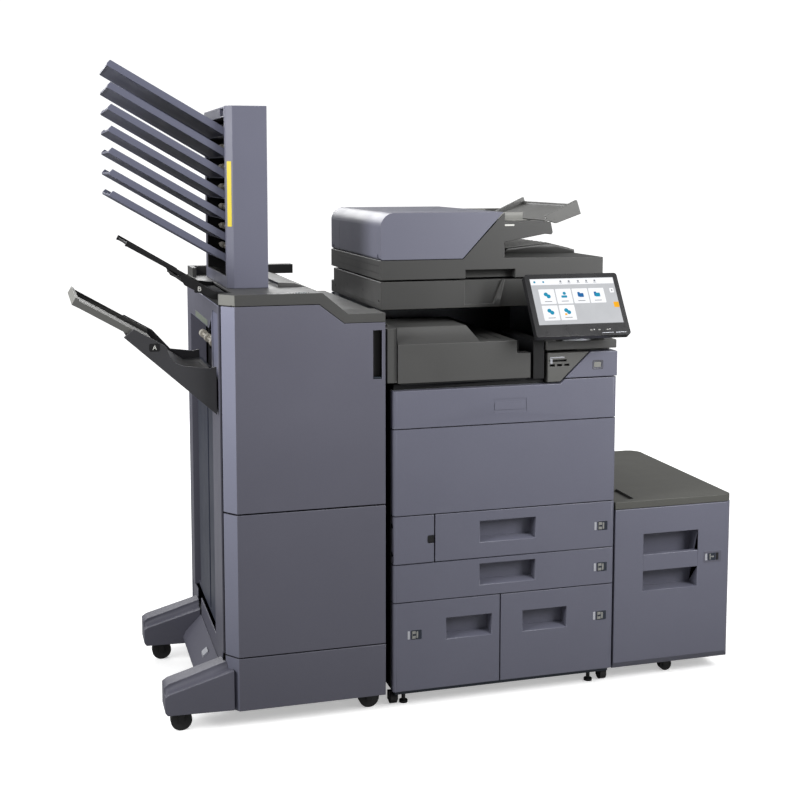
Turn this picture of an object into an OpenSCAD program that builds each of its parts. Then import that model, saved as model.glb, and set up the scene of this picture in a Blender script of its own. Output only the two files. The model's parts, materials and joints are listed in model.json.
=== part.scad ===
// Office photocopier with a stapling finisher, a seven-bin mailbox and a side paper feeder.
// Every module is drawn in the machine frame: X = 0 is the main unit's left face, Y = 0 its front
// face (+Y runs to the back) and Z = 0 the floor. at_centre() then moves each piece so that the
// origin is under the middle of the whole machine.

/* [Main unit] */
// Width of the main unit
main_w = 602; // [590:1:620]
// Depth of the main unit, front panels included
main_d = 665; // [640:1:680]
// Thickness of the moulded front panels
panel_t = 22; // [20:1:24]
// Gap between neighbouring front panels
seam = 3; // [2:0.5:4]
// Height of the underside of the base pan
pan_z = 33; // [33:1:36]
// Bottom edge of the lowest front panels
front_z = 45; // [45:1:48]
// Top of the two deep paper decks
deck_z = 275; // [270:1:280]
// Top of the lower cassette
lower_z = 373; // [368:1:378]
// Top of the upper cassette
upper_z = 497; // [492:1:502]
// Top of the front door
door_z = 717; // [712:1:722]
// Top of the toner cover
toner_z = 813; // [808:1:818]
// Width of the small door beside the upper cassette
small_door_w = 107; // [100:1:115]
// Where the two paper decks meet
deck_split_x = 285.5; // [280:0.5:290]
// Radius of the front panels' outer corners
corner_r = 10; // [8:1:12]

/* [Scanner and document processor] */
// Front plane of the scanner
scan_y = 113; // [108:1:120]
// Underside of the scanner
scan_z = 1002; // [1000:1:1004]
// Height of the scanner housing
scan_h = 71; // [70:1:72]
// Underside of the document processor
dp_z = 1077; // [1076:1:1078]
// Height of the document processor's base slab
dp_base_h = 50; // [48:1:52]
// Top of the document processor's cover
dp_top_z = 1247; // [1240:1:1250]
// Right-hand end of the cover's front face
dp_cover_w = 330; // [325:1:335]

/* [Finisher] */
// Gap between the finisher and the main unit
dock_gap = 17; // [15:1:20]
// Left face of the finisher
fin_x = -420; // [-424:1:-418]
// Underside of the finisher
fin_z = 42; // [42:1:46]
// Seam above the kick cover
kick_z = 175; // [170:1:180]
// Seam below the finisher's upper door
fin_split_z = 531; // [526:1:536]
// Seam under the finisher's top cover
fin_door_z = 1034; // [1030:1:1038]
// Width of the output trays
tray_w = 329; // [320:1:332]
// Rise of the output trays and bins, in degrees
tray_rise = 30.5; // [29:0.5:31]

/* [Mailbox] */
// Number of bins
bin_count = 7; // [5:1:7]
// Height between bins
bin_pitch = 52.4; // [50:0.1:53]
// Length of a bin along the level
bin_run = 280; // [260:5:285]
// Top of the mailbox tower
tower_z = 1512; // [1500:1:1520]

/* [Side feeder] */
// Right-hand face of the side feeder
feeder_x = 948; // [940:1:960]
// Height of the side feeder
feeder_z = 489; // [480:1:495]
// Depth of the side feeder
feeder_d = 575; // [560:1:585]

/* [Hidden] */
$fn = 48;

blue_grey = "#7b7d8e";
dark_grey = "#4b4b4a";
black = "#1b1b1d";
steel = "#a9adb2";
cream = "#d9d9d4";

fit = 0.05;             // running clearance of a pin in its bore, on the radius
clear = 0.5;            // clearance between faces that slide or part
sheet = 3;              // sheet-metal thickness of the frames
skin = 5;               // thickness of the moulded side covers
wall = 2.5;             // thickness of the drawers' box walls

// Main unit
frame_y = panel_t + 4;                  // front edge of the frame's walls
frame_x0 = skin;
frame_x1 = main_w - skin;
rear_y = main_d - 10;                   // inner face of the rear cover
cover_y = panel_t + 6;                  // front edge of the side covers, clear of the turning doors
hinge_r = 3;                            // radius of the front doors' hinge pins
hinge_y = 7;                            // hinge line of the front doors behind the front face
hinge_up = 9;                           // hinge line above a door's lower edge
door_hinge_z = upper_z + seam / 2 + hinge_up;
toner_hinge_z = door_z + seam / 2 + hinge_up;
lug_x = [[50, 62], [540, 552]];         // spans of the hinge lugs along X
column_x = 457;                         // left end of the power column's lower edge
column_slope_x = 527;                   // left end of its upper edge
column_z = 824;
column_top = 891;
button_x = 547;
button_z = 857;
bracket_z = [899, 921];
bracket_x = [406, 599];
shelf_z = 831;
bulkhead_y = 576;                       // where the imaging parts are hung
roller_x = 560;
roller_z = 528;

// Drawers: [x0, x1, z0, z1] of each front panel
front_upper = [small_door_w + seam, main_w, lower_z + seam / 2, upper_z - seam / 2];
front_lower = [0, main_w, deck_z + seam / 2, lower_z - seam / 2];
front_left = [0, deck_split_x - seam / 2, front_z, deck_z - seam / 2];
front_right = [deck_split_x + seam / 2, main_w, front_z, deck_z - seam / 2];
box_y = [50, 620];                      // a drawer's box, front to back
grip_h = 56;
wide_grip = [229, 380];
left_grip = [140, 262];
right_grip = [347, 469];

// Touch panel: the middle of its lower front edge, its lean and its size
touch_x = [348, 603];
touch_low = [-75, 943];
touch_lean = 32.5;
touch_len = 176;
touch_t = 18;
touch_pivot = [-10, 985];
arm_x = [[432, 452], [548, 568]];

// Scanner and document processor
scan_w = 606;
dp_w = 610;
dp_hinge_y = 652;
dp_hinge_z = 1086;
hinge_block_x = [[80, 140], [470, 530]];
carriage_x = 60;
dp_cover_hinge = [9, dp_z + dp_base_h + 11];
dp_cover_foot_x = 218;
dp_corner_r = 36;
feed_hinge = [452, 1206];
feed_rise = 18.5;
feed_len = 118;
guide_z = 1220;

// Finisher
fin_x1 = -dock_gap;
fin_front_x = -388;                     // where the front face turns into the corner bevel
bevel = [-416, 38];                     // end of the corner bevel
fin_hinge = [-404, 38];
fin_d = 668;
fin_wall_x = -372;                      // inner wall behind the elevating tray
knee_x = [-184, -122];
low_top_z = 985;                        // low part of the seam under the top cover
opening_y = [176, 600];
tray_y = [60, 60 + tray_w];
tray_slide_y = [205, 355];
tray_a_step = -618;                     // end of the lower tray's base
tray_a_tip = -742;                      // tip of its extension
tray_b_step = -497;
tray_b_tip = -628;
foot_y = [[2, 76], [482, 556]];
foot_tip_x = [-567, -575];
wheel_r = 26;
outer_wheel_x = -526;
inner_wheel_x = -54;

// Mailbox
tower_x = [-378, -276];
tower_y = [168, 568];
tower_base_z = fin_door_z + 27;
bin_y = [205, 531];
bin_root_x = -369;
bin_low_z = 1141.5;

// Side feeder
feeder_gap = 3;
feeder_bottom = 38;
feeder_front_top = 470;

// Whole machine
span_x = [tray_a_tip - 16, feeder_x];
span_y = [touch_low[0], fin_d];

module at_centre() translate([-(span_x[0] + span_x[1]) / 2, -(span_y[0] + span_y[1]) / 2, 0])
    children();

// A box from its spans along X, Y and Z
module block(x, y, z) translate([x[0], y[0], z[0]]) cube([x[1] - x[0], y[1] - y[0], z[1] - z[0]]);

// An outline in X and Z, extruded over a span along Y
module along_y(y, points) translate([0, y[1], 0]) rotate([90, 0, 0])
    linear_extrude(y[1] - y[0]) polygon(points);

// An outline in Y and Z, extruded over a span along X
module along_x(x, points) translate([x[0], 0, 0]) rotate([90, 0, 90])
    linear_extrude(x[1] - x[0]) polygon(points);

// A round bar along X, Y or Z, from one end to the other
module bar_x(x, y, z, r) translate([x[0], y, z]) rotate([0, 90, 0]) cylinder(r = r, h = x[1] - x[0]);
module bar_y(x, y, z, r) translate([x, y[0], z]) rotate([-90, 0, 0]) cylinder(r = r, h = y[1] - y[0]);
module bar_z(x, y, z, r) translate([x, y, z[0]]) cylinder(r = r, h = z[1] - z[0]);

// A slab whose front corners are rounded by radii rl (left) and rr (right); 0 leaves one square
module fronted(x, y, z, rl, rr) translate([0, 0, z[0]]) linear_extrude(z[1] - z[0]) {
    deep = max(rl, rr);
    translate([x[0], y[0] + deep]) square([x[1] - x[0], y[1] - y[0] - deep]);
    translate([x[0] + rl, y[0]]) square([x[1] - x[0] - rl - rr, y[1] - y[0]]);
    if (rl > 0) translate([x[0] + rl, y[0] + rl]) circle(rl);
    if (rr > 0) translate([x[1] - rr, y[0] + rr]) circle(rr);
    if (rl > 0 && rl < deep) translate([x[0], y[0] + rl]) square([rl, deep - rl + 1]);
    if (rr > 0 && rr < deep) translate([x[1] - rr, y[0] + rr]) square([rr, deep - rr + 1]);
    if (rl == 0 && deep > 0) translate([x[0], y[0]]) square([deep, deep + 1]);
    if (rr == 0 && deep > 0) translate([x[1] - deep, y[0]]) square([deep, deep + 1]);
}

// ---- Main unit ---------------------------------------------------------------------------

module base_pan() at_centre() color(black) difference() {
    block([8, main_w - 8], [12, main_d - 4], [pan_z, front_z - sheet]);
    for (x = [60, 330]) block([x, x + 212], [80, 600], [pan_z - 1, pan_z + 5]);
}

// One hinge lug with its pin, fixed to the frame; the doors hang on the pins
module hinge_lug(x, z) {
    pin_x = [x[0] - 7, x[1] + 7];
    block(x, [hinge_y, frame_y + 1], [z - 4, z + 4]);
    bar_x(x, hinge_y, z, 4);
    bar_x(pin_x, hinge_y, z, hinge_r);
}

module hinge_lug_space(x, z) {
    wide = [x[0] - 1, x[1] + 1];
    block(wide, [hinge_y - 5, panel_t + 1], [z - hinge_up - 1, z + 6]);
    bar_x([x[0] - 8, x[1] + 8], hinge_y, z, hinge_r + fit);
}

module main_frame() at_centre() color(steel) {
    back = rear_y;
    for (x = [frame_x0, frame_x1 - sheet])
        block([x, x + sheet], [frame_y, back], [front_z - sheet, toner_z - 1]);
    block([frame_x0, frame_x1], [back - sheet, back], [front_z - sheet, scan_z]);
    for (z = [front_z - sheet, deck_z - 2, lower_z - 2, upper_z - 2])
        block([frame_x0, frame_x1], [frame_y, back], [z, z + sheet]);
    block([deck_split_x - sheet / 2, deck_split_x + sheet / 2], [frame_y, back], [front_z, deck_z]);
    block([small_door_w, small_door_w + sheet], [frame_y, back], [lower_z, upper_z]);
    block([frame_x0, frame_x1], [frame_y + 60, back], [toner_z - 4, toner_z - 1]);
    // Right-hand tower that carries the scanner and the panel bracket
    block([frame_x1 - sheet, frame_x1], [scan_y + 12, back], [toner_z - 2, scan_z]);
    block([470, frame_x1], [scan_y + 12, scan_y + 12 + sheet], [toner_z - 2, scan_z]);
    block([470, 470 + sheet], [scan_y + 12, 430], [toner_z - 2, scan_z]);
    // Left-hand rear post under the scanner
    block([frame_x0, 90], [back - 60, back - 57], [toner_z - 2, scan_z]);
    block([frame_x0, frame_x0 + sheet], [back - 60, back], [toner_z - 2, scan_z]);
    // Platform under the power column and the inner cover
    block([frame_x0, frame_x1], [frame_y, frame_y + 61], [toner_z - 4, toner_z - 1]);
    // Rear bulkhead that the imaging parts hang from, and the feed roller's bearings
    block([frame_x0, frame_x1], [bulkhead_y, bulkhead_y + sheet], [upper_z, toner_z - 2]);
    for (y = [72, bulkhead_y - 12]) difference() {
        block([548, 572], [y, y + 4], [upper_z, roller_z + 10]);
        bar_y(roller_x, [y - 1, y + 5], roller_z, 5 + fit);
    }
    for (x = lug_x) {
        hinge_lug(x, door_hinge_z);
        hinge_lug(x, toner_hinge_z);
        block([x[0], x[1]], [frame_y, frame_y + sheet], [upper_z, door_hinge_z + 20]);
        block([x[0], x[1]], [frame_y, frame_y + sheet], [toner_hinge_z - 20, toner_z - 2]);
    }
    // Hinge plate of the small door
    for (z = [lower_z + 22, upper_z - 30]) {
        block([frame_x0, 18], [12, frame_y + 1], [z, z + 8]);
        bar_z(11, 11, [z - 6, z + 14], hinge_r);
        bar_z(11, 11, [z, z + 8], 5.5);
    }
}

module cover_vents(x, y, z, count, pitch) for (i = [0 : count - 1])
    block(x, y, [z + i * pitch, z + i * pitch + pitch * 0.45]);

module left_cover() at_centre() color(blue_grey)
    block([0, skin], [cover_y, rear_y], [front_z, toner_z]);

module right_cover() at_centre() color(blue_grey) difference() {
    union() {
        block([main_w - skin, main_w], [cover_y, rear_y], [front_z, toner_z]);
        block([main_w - skin, main_w], [102, rear_y], [toner_z - 1, bracket_z[0] - 3]);
        block([main_w - skin, main_w], [scan_y, rear_y], [bracket_z[0] - 4, scan_z - 2]);
    }
    // Paper entry from the side feeder and a field of vents
    block([main_w - skin - 1, main_w + 1], [60, 420], [400, 440]);
    cover_vents([main_w - skin - 1, main_w + 1], [430, 610], 600, 9, 18);
}

module rear_cover() at_centre() color(blue_grey) difference() {
    block([0, main_w], [rear_y, main_d], [front_z, scan_z - 2]);
    cover_vents([60, 250], [rear_y - 1, main_d + 1], 760, 10, 16);
    cover_vents([400, 540], [rear_y - 1, main_d + 1], 620, 6, 16);
    // Power inlet recess
    block([470, 530], [rear_y + 4, main_d + 1], [110, 150]);
}

module front_door() at_centre() color(blue_grey) difference() {
    fronted([0, main_w], [0, panel_t], [upper_z + seam / 2, door_z - seam / 2], corner_r, corner_r);
    for (x = lug_x) hinge_lug_space(x, door_hinge_z);
    block([80, 520], [8, panel_t + 1], [upper_z + 40, door_z - 20]);
}

module toner_cover() at_centre() color(blue_grey) difference() {
    union() {
        fronted([0, main_w], [0, panel_t], [door_z + seam / 2, toner_z - 1], corner_r, corner_r);
        fronted([column_x, main_w], [0, panel_t], [toner_z - 2, column_z - 1], 0, corner_r);
        along_y([0, panel_t], [[445, toner_z - 1], [column_x, column_z - 1], [column_x + 1, 812]]);
    }
    for (x = lug_x) hinge_lug_space(x, toner_hinge_z);
    block([80, 520], [8, panel_t + 1], [door_z + 36, toner_z - 16]);
    // Shallow seat of the blank name plate
    block([264, 352], [-1, 0.8], [745, 781]);
}

module small_door() at_centre() color(blue_grey) difference() {
    z = [lower_z + seam / 2, upper_z - seam / 2];
    fronted([0, small_door_w], [0, panel_t], z, corner_r, 0);
    for (hz = [lower_z + 22, upper_z - 30]) {
        block([-1, 19], [5, panel_t + 1], [hz - 1, hz + 9]);
        bar_z(11, 11, [hz - 7, hz + 15], hinge_r + fit);
    }
    // Back corner cut away, so that it passes the frame as the door turns
    block([-1, 3], [panel_t - 3, panel_t + 1], [z[0] - 1, z[1] + 1]);
    // Latch notch on the free edge
    block([small_door_w - 14, small_door_w + 1], [-1, 14], [423, 443]);
}

// The finger recess of a drawer: a slot that reaches back and up behind the front face
module grip_space(x, z) {
    along_x([x[0], x[1]], [[-1, z[0]], [18, z[0] + 6], [36, z[0] + 6], [36, z[1] - 4], [10, z[1] - 4],
        [-1, z[1]]]);
}

module grip_shell(x, z) block([x[0] - 3, x[1] + 3], [panel_t - 1, 39], [z[0] - 1, z[1] + 1]);

// A drawer: its front panel, finger recess and open box on two runners
module drawer(front, box_x, grip_x, grip_z, box_h) {
    grip = [grip_z, grip_z + grip_h];
    under = front[2] + 7;
    rl = front[0] == 0 ? corner_r : 0;
    rr = front[1] == main_w ? corner_r : 0;
    difference() {
        union() {
            fronted([front[0], front[1]], [0, panel_t], [front[2], front[3]], rl, rr);
            grip_shell(grip_x, grip);
            block(box_x, box_y, [under, under + box_h]);
            for (x = [box_x[0] + 30, box_x[1] - 50])
                block([x, x + 20], [panel_t - 1, box_y[1]], [front[2] + clear, under + 3]);
            for (x = [box_x[0] + 4, box_x[1] - 24])
                block([x, x + 20], [panel_t - 1, box_y[0] + 1], [under, under + box_h * 0.8]);
        }
        grip_space(grip_x, grip);
        block([box_x[0] + wall, box_x[1] - wall], [box_y[0] + wall, box_y[1] - wall],
            [under + wall, under + box_h + 1]);
    }
}

module cassette_1() at_centre() color(blue_grey)
    drawer(front_upper, [120, main_w - 14], wide_grip, 414, 96);
module cassette_2() at_centre() color(blue_grey)
    drawer(front_lower, [14, main_w - 14], wide_grip, 303, 76);
module deck_left() at_centre() color(blue_grey)
    drawer(front_left, [14, deck_split_x - 8], left_grip, 170, 205);
module deck_right() at_centre() color(blue_grey)
    drawer(front_right, [deck_split_x + 8, main_w - 14], right_grip, 169, 205);

// ---- Inside the main unit ----------------------------------------------------------------

module waste_toner_box() at_centre() color(cream) difference() {
    block([30, 530], [40, 68], [upper_z + 1, upper_z + 36]);
    bar_y(60, [39, 50], upper_z + 19, 10);
}

bottle_x = [70, 190, 310, 430];

module toner_bottles() at_centre() {
    tints = ["#20222a", "#2f7fb5", "#b5357a", "#d8c02c"];
    for (i = [0 : 3]) color(tints[i]) {
        bar_y(bottle_x[i] + 30, [52, bulkhead_y], 768, 32);
        bar_y(bottle_x[i] + 30, [40, 53], 768, 24);
    }
}

module imaging_units() at_centre() color(dark_grey) for (i = [0 : 3]) {
    x = bottle_x[i];
    block([x, x + 70], [80, bulkhead_y], [610, 672]);
    bar_y(x + 35, [70, bulkhead_y], 606, 15);
}

module transfer_belt() at_centre() color(black) difference() {
    union() {
        block([100, 500], [90, bulkhead_y], [682, 718]);
        for (x = [100, 500]) bar_y(x, [90, bulkhead_y], 700, 18);
    }
    block([110, 490], [89, bulkhead_y - 4], [688, 712]);
}

module fuser() at_centre() color(cream) {
    block([520, 585], [90, bulkhead_y], [560, 600]);
    bar_y(536, [80, 570], 622, 16);
    bar_y(569.5, [80, 570], 622, 16);
    for (y = [90, 556]) block([520, 585], [y, y + 4], [598, 612]);
}

module feed_roller() at_centre() color(black) {
    bar_y(roller_x, [68, bulkhead_y - 1], roller_z, 5);
    for (y = [120, 300, 480]) bar_y(roller_x, [y, y + 50], roller_z, 11);
}

// ---- Top of the main unit ----------------------------------------------------------------

bridge_x = [13, 363];
bridge_notch = [325, 895];
bridge_top = 928;

// Dark inner cover in front of the bridge that carries paper to the finisher
module bridge_cover() at_centre() color(dark_grey) difference() {
    union() {
        // Docking cover in the gap beside the finisher
        block([3 - dock_gap, bridge_x[0] - 1.5], [3, 56], [shelf_z + 2, 968]);
        along_y([0, 40], [[bridge_x[0], shelf_z], [bridge_x[1], shelf_z],
            [bridge_x[1], bridge_notch[1]], [bridge_notch[0], bridge_notch[1]],
            [bridge_notch[0], bridge_top], [bridge_x[0], bridge_top]]);
        block([bridge_x[0], bridge_notch[0]], [39, 560], [bridge_top - 24, bridge_top]);
        difference() {
            along_x([bridge_x[0], 228], [[1, bridge_top - 1], [40, 966], [220, 966],
                [220, bridge_top - 1]]);
            along_y([-1, 300], [[202, 967], [229, bridge_top - 2], [260, bridge_top], [230, 980]]);
        }
    }
    block([bridge_x[0] + 8, bridge_x[1] - 8], [6, 41], [shelf_z - 1, bridge_top - 40]);
}

// Black tray and paper bridge behind the inner cover
module output_shelf() at_centre() color(black) {
    block([8, 468], [62, 590], [toner_z - 1, 826]);
    block([8, 408], [26, 63], [toner_z - 1, 826]);
    block([21, 355], [8, 38], [826, 884]);
    block([-dock_gap + 2, 9], [60, 560], [toner_z + 20, 950]);
    block([8, 440], [240, 580], [826, 890]);
    // Right-hand pillar beside the media slots
    block([372, 402], [8, 46], [826, 925]);
    block([372, 402], [45, 240], [826, 925]);
}

module power_column() at_centre() color(blue_grey) difference() {
    union() {
        along_y([0, 24], [[column_x + 1, column_z + 2], [main_w, column_z + 2], [main_w, column_top],
            [column_slope_x, column_top]]);
        along_y([23, 100], [[column_x + 30, toner_z - 1], [main_w - skin - 1, toner_z - 1],
            [main_w - skin - 1, column_z + 2], [main_w, column_z + 2], [main_w, column_top],
            [column_slope_x + 4, column_top]]);
    }
    // Well of the power button
    block([button_x - 11, button_x + 11], [-1, 12], [button_z - 8, button_z + 8]);
    bar_y(button_x, [0, 20], button_z, 4 + fit);
}

module power_button() at_centre() color(cream) {
    block([button_x - 10.2, button_x + 10.2], [1, 5], [button_z - 7.2, button_z + 7.2]);
    bar_y(button_x, [4, 17], button_z, 4);
}

module media_slots() at_centre() color(dark_grey) difference() {
    union() {
        block([415, 446], [26, 58], [toner_z - 1, toner_z + 6]);
        along_y([4, 60], [[411, toner_z + 4], [446, toner_z + 4], [column_x, column_z + 5],
            [column_slope_x - 3, column_top], [411, column_top]]);
    }
    // Card slot and two ports
    block([415, 462], [3, 24], [868, 873]);
    for (x = [416, 436, 456]) block([x, x + 14], [3, 22], [856, 862]);
}

module panel_bracket() at_centre() color(dark_grey) difference() {
    union() {
        block(bracket_x, [0, 110], bracket_z);
        block([472, frame_x1 - 4], [109, scan_y + 12], bracket_z);
        block([500, frame_x1 - 4], [30, 98], [column_top, bracket_z[0] + 1]);
        for (x = arm_x) {
            along_x(x, [[8, 920], [70, 920], [70, 940], [4, touch_pivot[1] + 9],
                [touch_pivot[0] - 9, touch_pivot[1] + 6], [touch_pivot[0] - 9, touch_pivot[1] - 6]]);
            bar_x(x, touch_pivot[0], touch_pivot[1], 10);
        }
    }
    bar_x([arm_x[0][0] - 1, arm_x[1][1] + 1], touch_pivot[0], touch_pivot[1], 4 + fit);
}

// Moves a piece drawn flat (X across, Y up the panel, Z out of the front) into the panel's plane
module on_panel() translate([0, touch_low[0], touch_low[1]]) rotate([90 - touch_lean, 0, 0]) children();

function panel_u(p) = (p[0] - touch_low[0]) * sin(touch_lean) + (p[1] - touch_low[1]) * cos(touch_lean);
function panel_v(p) = -(p[0] - touch_low[0]) * cos(touch_lean) + (p[1] - touch_low[1]) * sin(touch_lean);

screen_x = [touch_x[0] + 13, touch_x[1] - 13];
screen_u = [34, touch_len - 13];
key_x = 380;
key_u = 15;

module touch_panel() at_centre() color(black) difference() {
    u = panel_u(touch_pivot);
    v = panel_v(touch_pivot);
    union() {
        on_panel() {
            r = 8;
            translate([0, 0, -touch_t]) linear_extrude(touch_t) {
                translate([touch_x[0] + r, 0]) square([touch_x[1] - touch_x[0] - 2 * r, touch_len]);
                translate([touch_x[0], r]) square([touch_x[1] - touch_x[0], touch_len - 2 * r]);
                for (x = [touch_x[0] + r, touch_x[1] - r], y = [r, touch_len - r])
                    translate([x, y]) circle(r);
            }
            for (x = [arm_x[0][1] + 1, arm_x[1][0] - 13])
                translate([x + 1, u - 8, v]) cube([10, 16, -touch_t - v + 1]);
        }
        for (x = [arm_x[0][1] + 1, arm_x[1][0] - 13])
            bar_x([x, x + 12], touch_pivot[0], touch_pivot[1], 10);
        bar_x([arm_x[0][0] + 1, arm_x[1][1] - 1], touch_pivot[0], touch_pivot[1], 4);
    }
    on_panel() {
        translate([screen_x[0], screen_u[0], -1.5])
            cube([screen_x[1] - screen_x[0], screen_u[1] - screen_u[0], 3]);
        translate([key_x, key_u, -6]) cylinder(r = 4.5 + fit, h = 8);
        translate([key_x, key_u, -12]) cylinder(r = 2 + fit, h = 8);
    }
}

module touch_screen() at_centre() color("#e9ecef") on_panel()
    translate([screen_x[0], screen_u[0], -1.5])
        cube([screen_x[1] - screen_x[0], screen_u[1] - screen_u[0], 1.5]);

module panel_key() at_centre() color(dark_grey) on_panel() {
    translate([key_x, key_u, -3.5]) cylinder(r = 4.5, h = 4);
    translate([key_x, key_u, -10]) cylinder(r = 2, h = 7);
}

// ---- Scanner -----------------------------------------------------------------------------

scan_back_y = 634;

module scanner_housing() at_centre() color(dark_grey) difference() {
    union() {
        block([0, scan_w], [scan_y, scan_back_y], [scan_z, scan_z + scan_h]);
        block([0, scan_w], [scan_back_y - 1, main_d], [scan_z, scan_z + 34]);
    }
    block([8, scan_w - 8], [scan_y + 14, scan_back_y - 8], [scan_z + 5, scan_z + scan_h - 6]);
    block([42, 548], [148, 602], [scan_z + scan_h - 7, scan_z + scan_h + 1]);
    block([38, 552], [144, 606], [scan_z + scan_h - 3, scan_z + scan_h + 1]);
    // Recessed middle of the front, with a sloping right end
    along_y([scan_y - 1, scan_y + 9], [[224, scan_z + 9], [302, scan_z + 9],
        [328, scan_z + scan_h + 1], [224, scan_z + scan_h + 1]]);
    along_y([scan_y - 1, scan_y + 4], [[318, scan_z - 1], [scan_w + 1, scan_z - 1],
        [scan_w + 1, scan_z + scan_h + 1], [334, scan_z + scan_h + 1]]);
    for (y = [136, 612]) bar_x([-1, scan_w + 1], y, scan_z + 22, 3);
}

module platen_glass() at_centre() color("#bcd0d4")
    block([38.3, 551.7], [144.3, 605.7], [scan_z + scan_h - 3, scan_z + scan_h]);

module scan_carriage() at_centre() color(black) difference() {
    union() {
        block([carriage_x, carriage_x + 44], [142, 606], [scan_z + 34, scan_z + 56]);
        for (y = [128.5, 605]) block([carriage_x, carriage_x + 44], [y, y + 14.5],
            [scan_z + 14, scan_z + 40]);
    }
    for (y = [136, 612]) bar_x([carriage_x - 1, carriage_x + 45], y, scan_z + 22, 3 + fit);
    block([carriage_x + 6, carriage_x + 38], [160, 590], [scan_z + 40, scan_z + 57]);
}

module dp_hinges() at_centre() color(steel) {
    for (x = hinge_block_x) {
        block([x[0], x[1]], [scan_back_y, scan_back_y + 28], [scan_z + 34, scan_z + 60]);
        block([x[0] + 20, x[1] - 20], [dp_hinge_y - 7, dp_hinge_y + 7], [scan_z + 50, dp_hinge_z]);
        bar_x([x[0] + 20, x[1] - 20], dp_hinge_y, dp_hinge_z, 7);
        bar_x([x[0] + 6, x[1] - 6], dp_hinge_y, dp_hinge_z, 4);
    }
}

// Guide rods of the scan carriage
module scanner_rods() at_centre() color(steel)
    for (y = [136, 612]) bar_x([2, scan_w - 2], y, scan_z + 22, 3);

// ---- Document processor ------------------------------------------------------------------

dp_y = [scan_y, main_d];
dp_slab_z = dp_z + dp_base_h;
dp_mid_x = 332;

module dp_base() at_centre() color(dark_grey) difference() {
    union() {
        // Slab, whose right half dips into the output tray
        along_y(dp_y, [[0, dp_z], [dp_w, dp_z], [dp_w, dp_slab_z - 1], [dp_mid_x, dp_slab_z + 2],
            [dp_mid_x - 4, dp_slab_z], [0, dp_slab_z]]);
        along_y([300, 640], [[dp_mid_x + 60, dp_slab_z - 2], [dp_w, dp_slab_z - 4],
            [dp_w, dp_slab_z + 8], [dp_mid_x + 200, dp_slab_z + 26], [dp_mid_x + 80, dp_slab_z + 14]]);
        // Mechanism housing under the cover, and the feed housing to its right
        along_y([scan_y + 3, 640], [[250, dp_slab_z - 1], [dp_mid_x, dp_slab_z - 1], [dp_mid_x, 1222],
            [dp_mid_x - 20, 1222], [dp_mid_x - 40, 1190]]);
        along_y([scan_y, scan_y + 4], [[dp_cover_foot_x + 4, dp_slab_z - 1], [dp_mid_x, dp_slab_z - 1],
            [dp_mid_x, dp_top_z - 2], [dp_cover_w + 1, dp_top_z - 2],
            [dp_cover_foot_x + 2, dp_slab_z + 1]]);
        difference() {
            along_y([scan_y, 640], [[dp_mid_x - 8, 1169], [dp_mid_x, 1169], [445, 1189], [462, 1187],
                [466, 1193], [460, guide_z], [dp_mid_x - 8, guide_z]]);
            for (y = [[170, 260], [440, 530]])
                block([feed_hinge[0] - 13, 475], y, [feed_hinge[1] - 8, 1230]);
        }
        for (y = [[168, 262], [438, 532]]) bar_y(feed_hinge[0], y, feed_hinge[1], 4);
        block([dp_mid_x - 8, 440], [636, main_d], [dp_slab_z - 1, guide_z]);
        // Lugs and pins of the cover's hinge
        for (y = [[138, 146], [626, 634]]) {
            block([dp_cover_hinge[0] - 3.5, dp_cover_hinge[0] + 8], y, [dp_slab_z - 1, dp_cover_hinge[1]]);
            bar_y(dp_cover_hinge[0], y, dp_cover_hinge[1], 3.5);
        }
        bar_y(dp_cover_hinge[0], [129, 146], dp_cover_hinge[1], 3);
        bar_y(dp_cover_hinge[0], [626, 643], dp_cover_hinge[1], 3);
    }
    // Front handle slot
    block([226, 361], [scan_y - 1, scan_y + 26], [dp_z - 1, dp_z + 22]);
    // Slot for the document guides' racks
    block([384, 400], [200, 560], [1200, guide_z + 1]);
    // Hinge clearance at the rear
    for (x = hinge_block_x) {
        block([x[0] + 18, x[1] - 18], [dp_hinge_y - 24, main_d + 1], [dp_z - 1, dp_hinge_z + 12]);
        bar_x([x[0] + 2, x[1] - 2], dp_hinge_y, dp_hinge_z, 4 + fit);
    }
    // Eject mouth
    block([dp_mid_x - 30, dp_mid_x + 1], [150, 600], [dp_slab_z + 8, 1162]);
}

// Curved blue-grey cover over the feed path, hinged along its left side
module dp_cover() at_centre() color(blue_grey) difference() {
    z0 = dp_slab_z + 1;
    r = dp_corner_r;
    x1 = dp_cover_w - 1;
    union() {
        difference() {
            union() {
                along_y([scan_y, main_d - 4], [[0, z0 + 5], [4.5, z0], [dp_cover_foot_x, z0],
                    [x1, dp_top_z], [r, dp_top_z], [r, dp_top_z - r], [0, dp_top_z - r]]);
                bar_y(r, [scan_y, main_d - 4], dp_top_z - r, r);
            }
            // Hollow inside, open below
            along_y([scan_y + 5, main_d - 10], [[5, z0 - 1], [dp_cover_foot_x - 7, z0 - 1],
                [dp_cover_foot_x - 5, z0 + 2], [x1 - 13, dp_top_z - 5], [r, dp_top_z - 5],
                [16, dp_top_z - 15], [5, dp_top_z - r]]);
        }
        for (y = [131, 636]) block([4, 40], [y, y + 5], [z0 + 3, z0 + 30]);
    }
    for (y = [130, 635]) bar_y(dp_cover_hinge[0], [y, y + 7], dp_cover_hinge[1], 3 + fit);
    // Notches that clear the lugs as the cover turns
    for (y = [136.5, 624.5]) block([-1, 6], [y, y + 11], [z0 - 1, z0 + 13]);
}

module feed_frame() translate([feed_hinge[0], 0, feed_hinge[1]]) rotate([0, -feed_rise, 0]) children();

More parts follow.
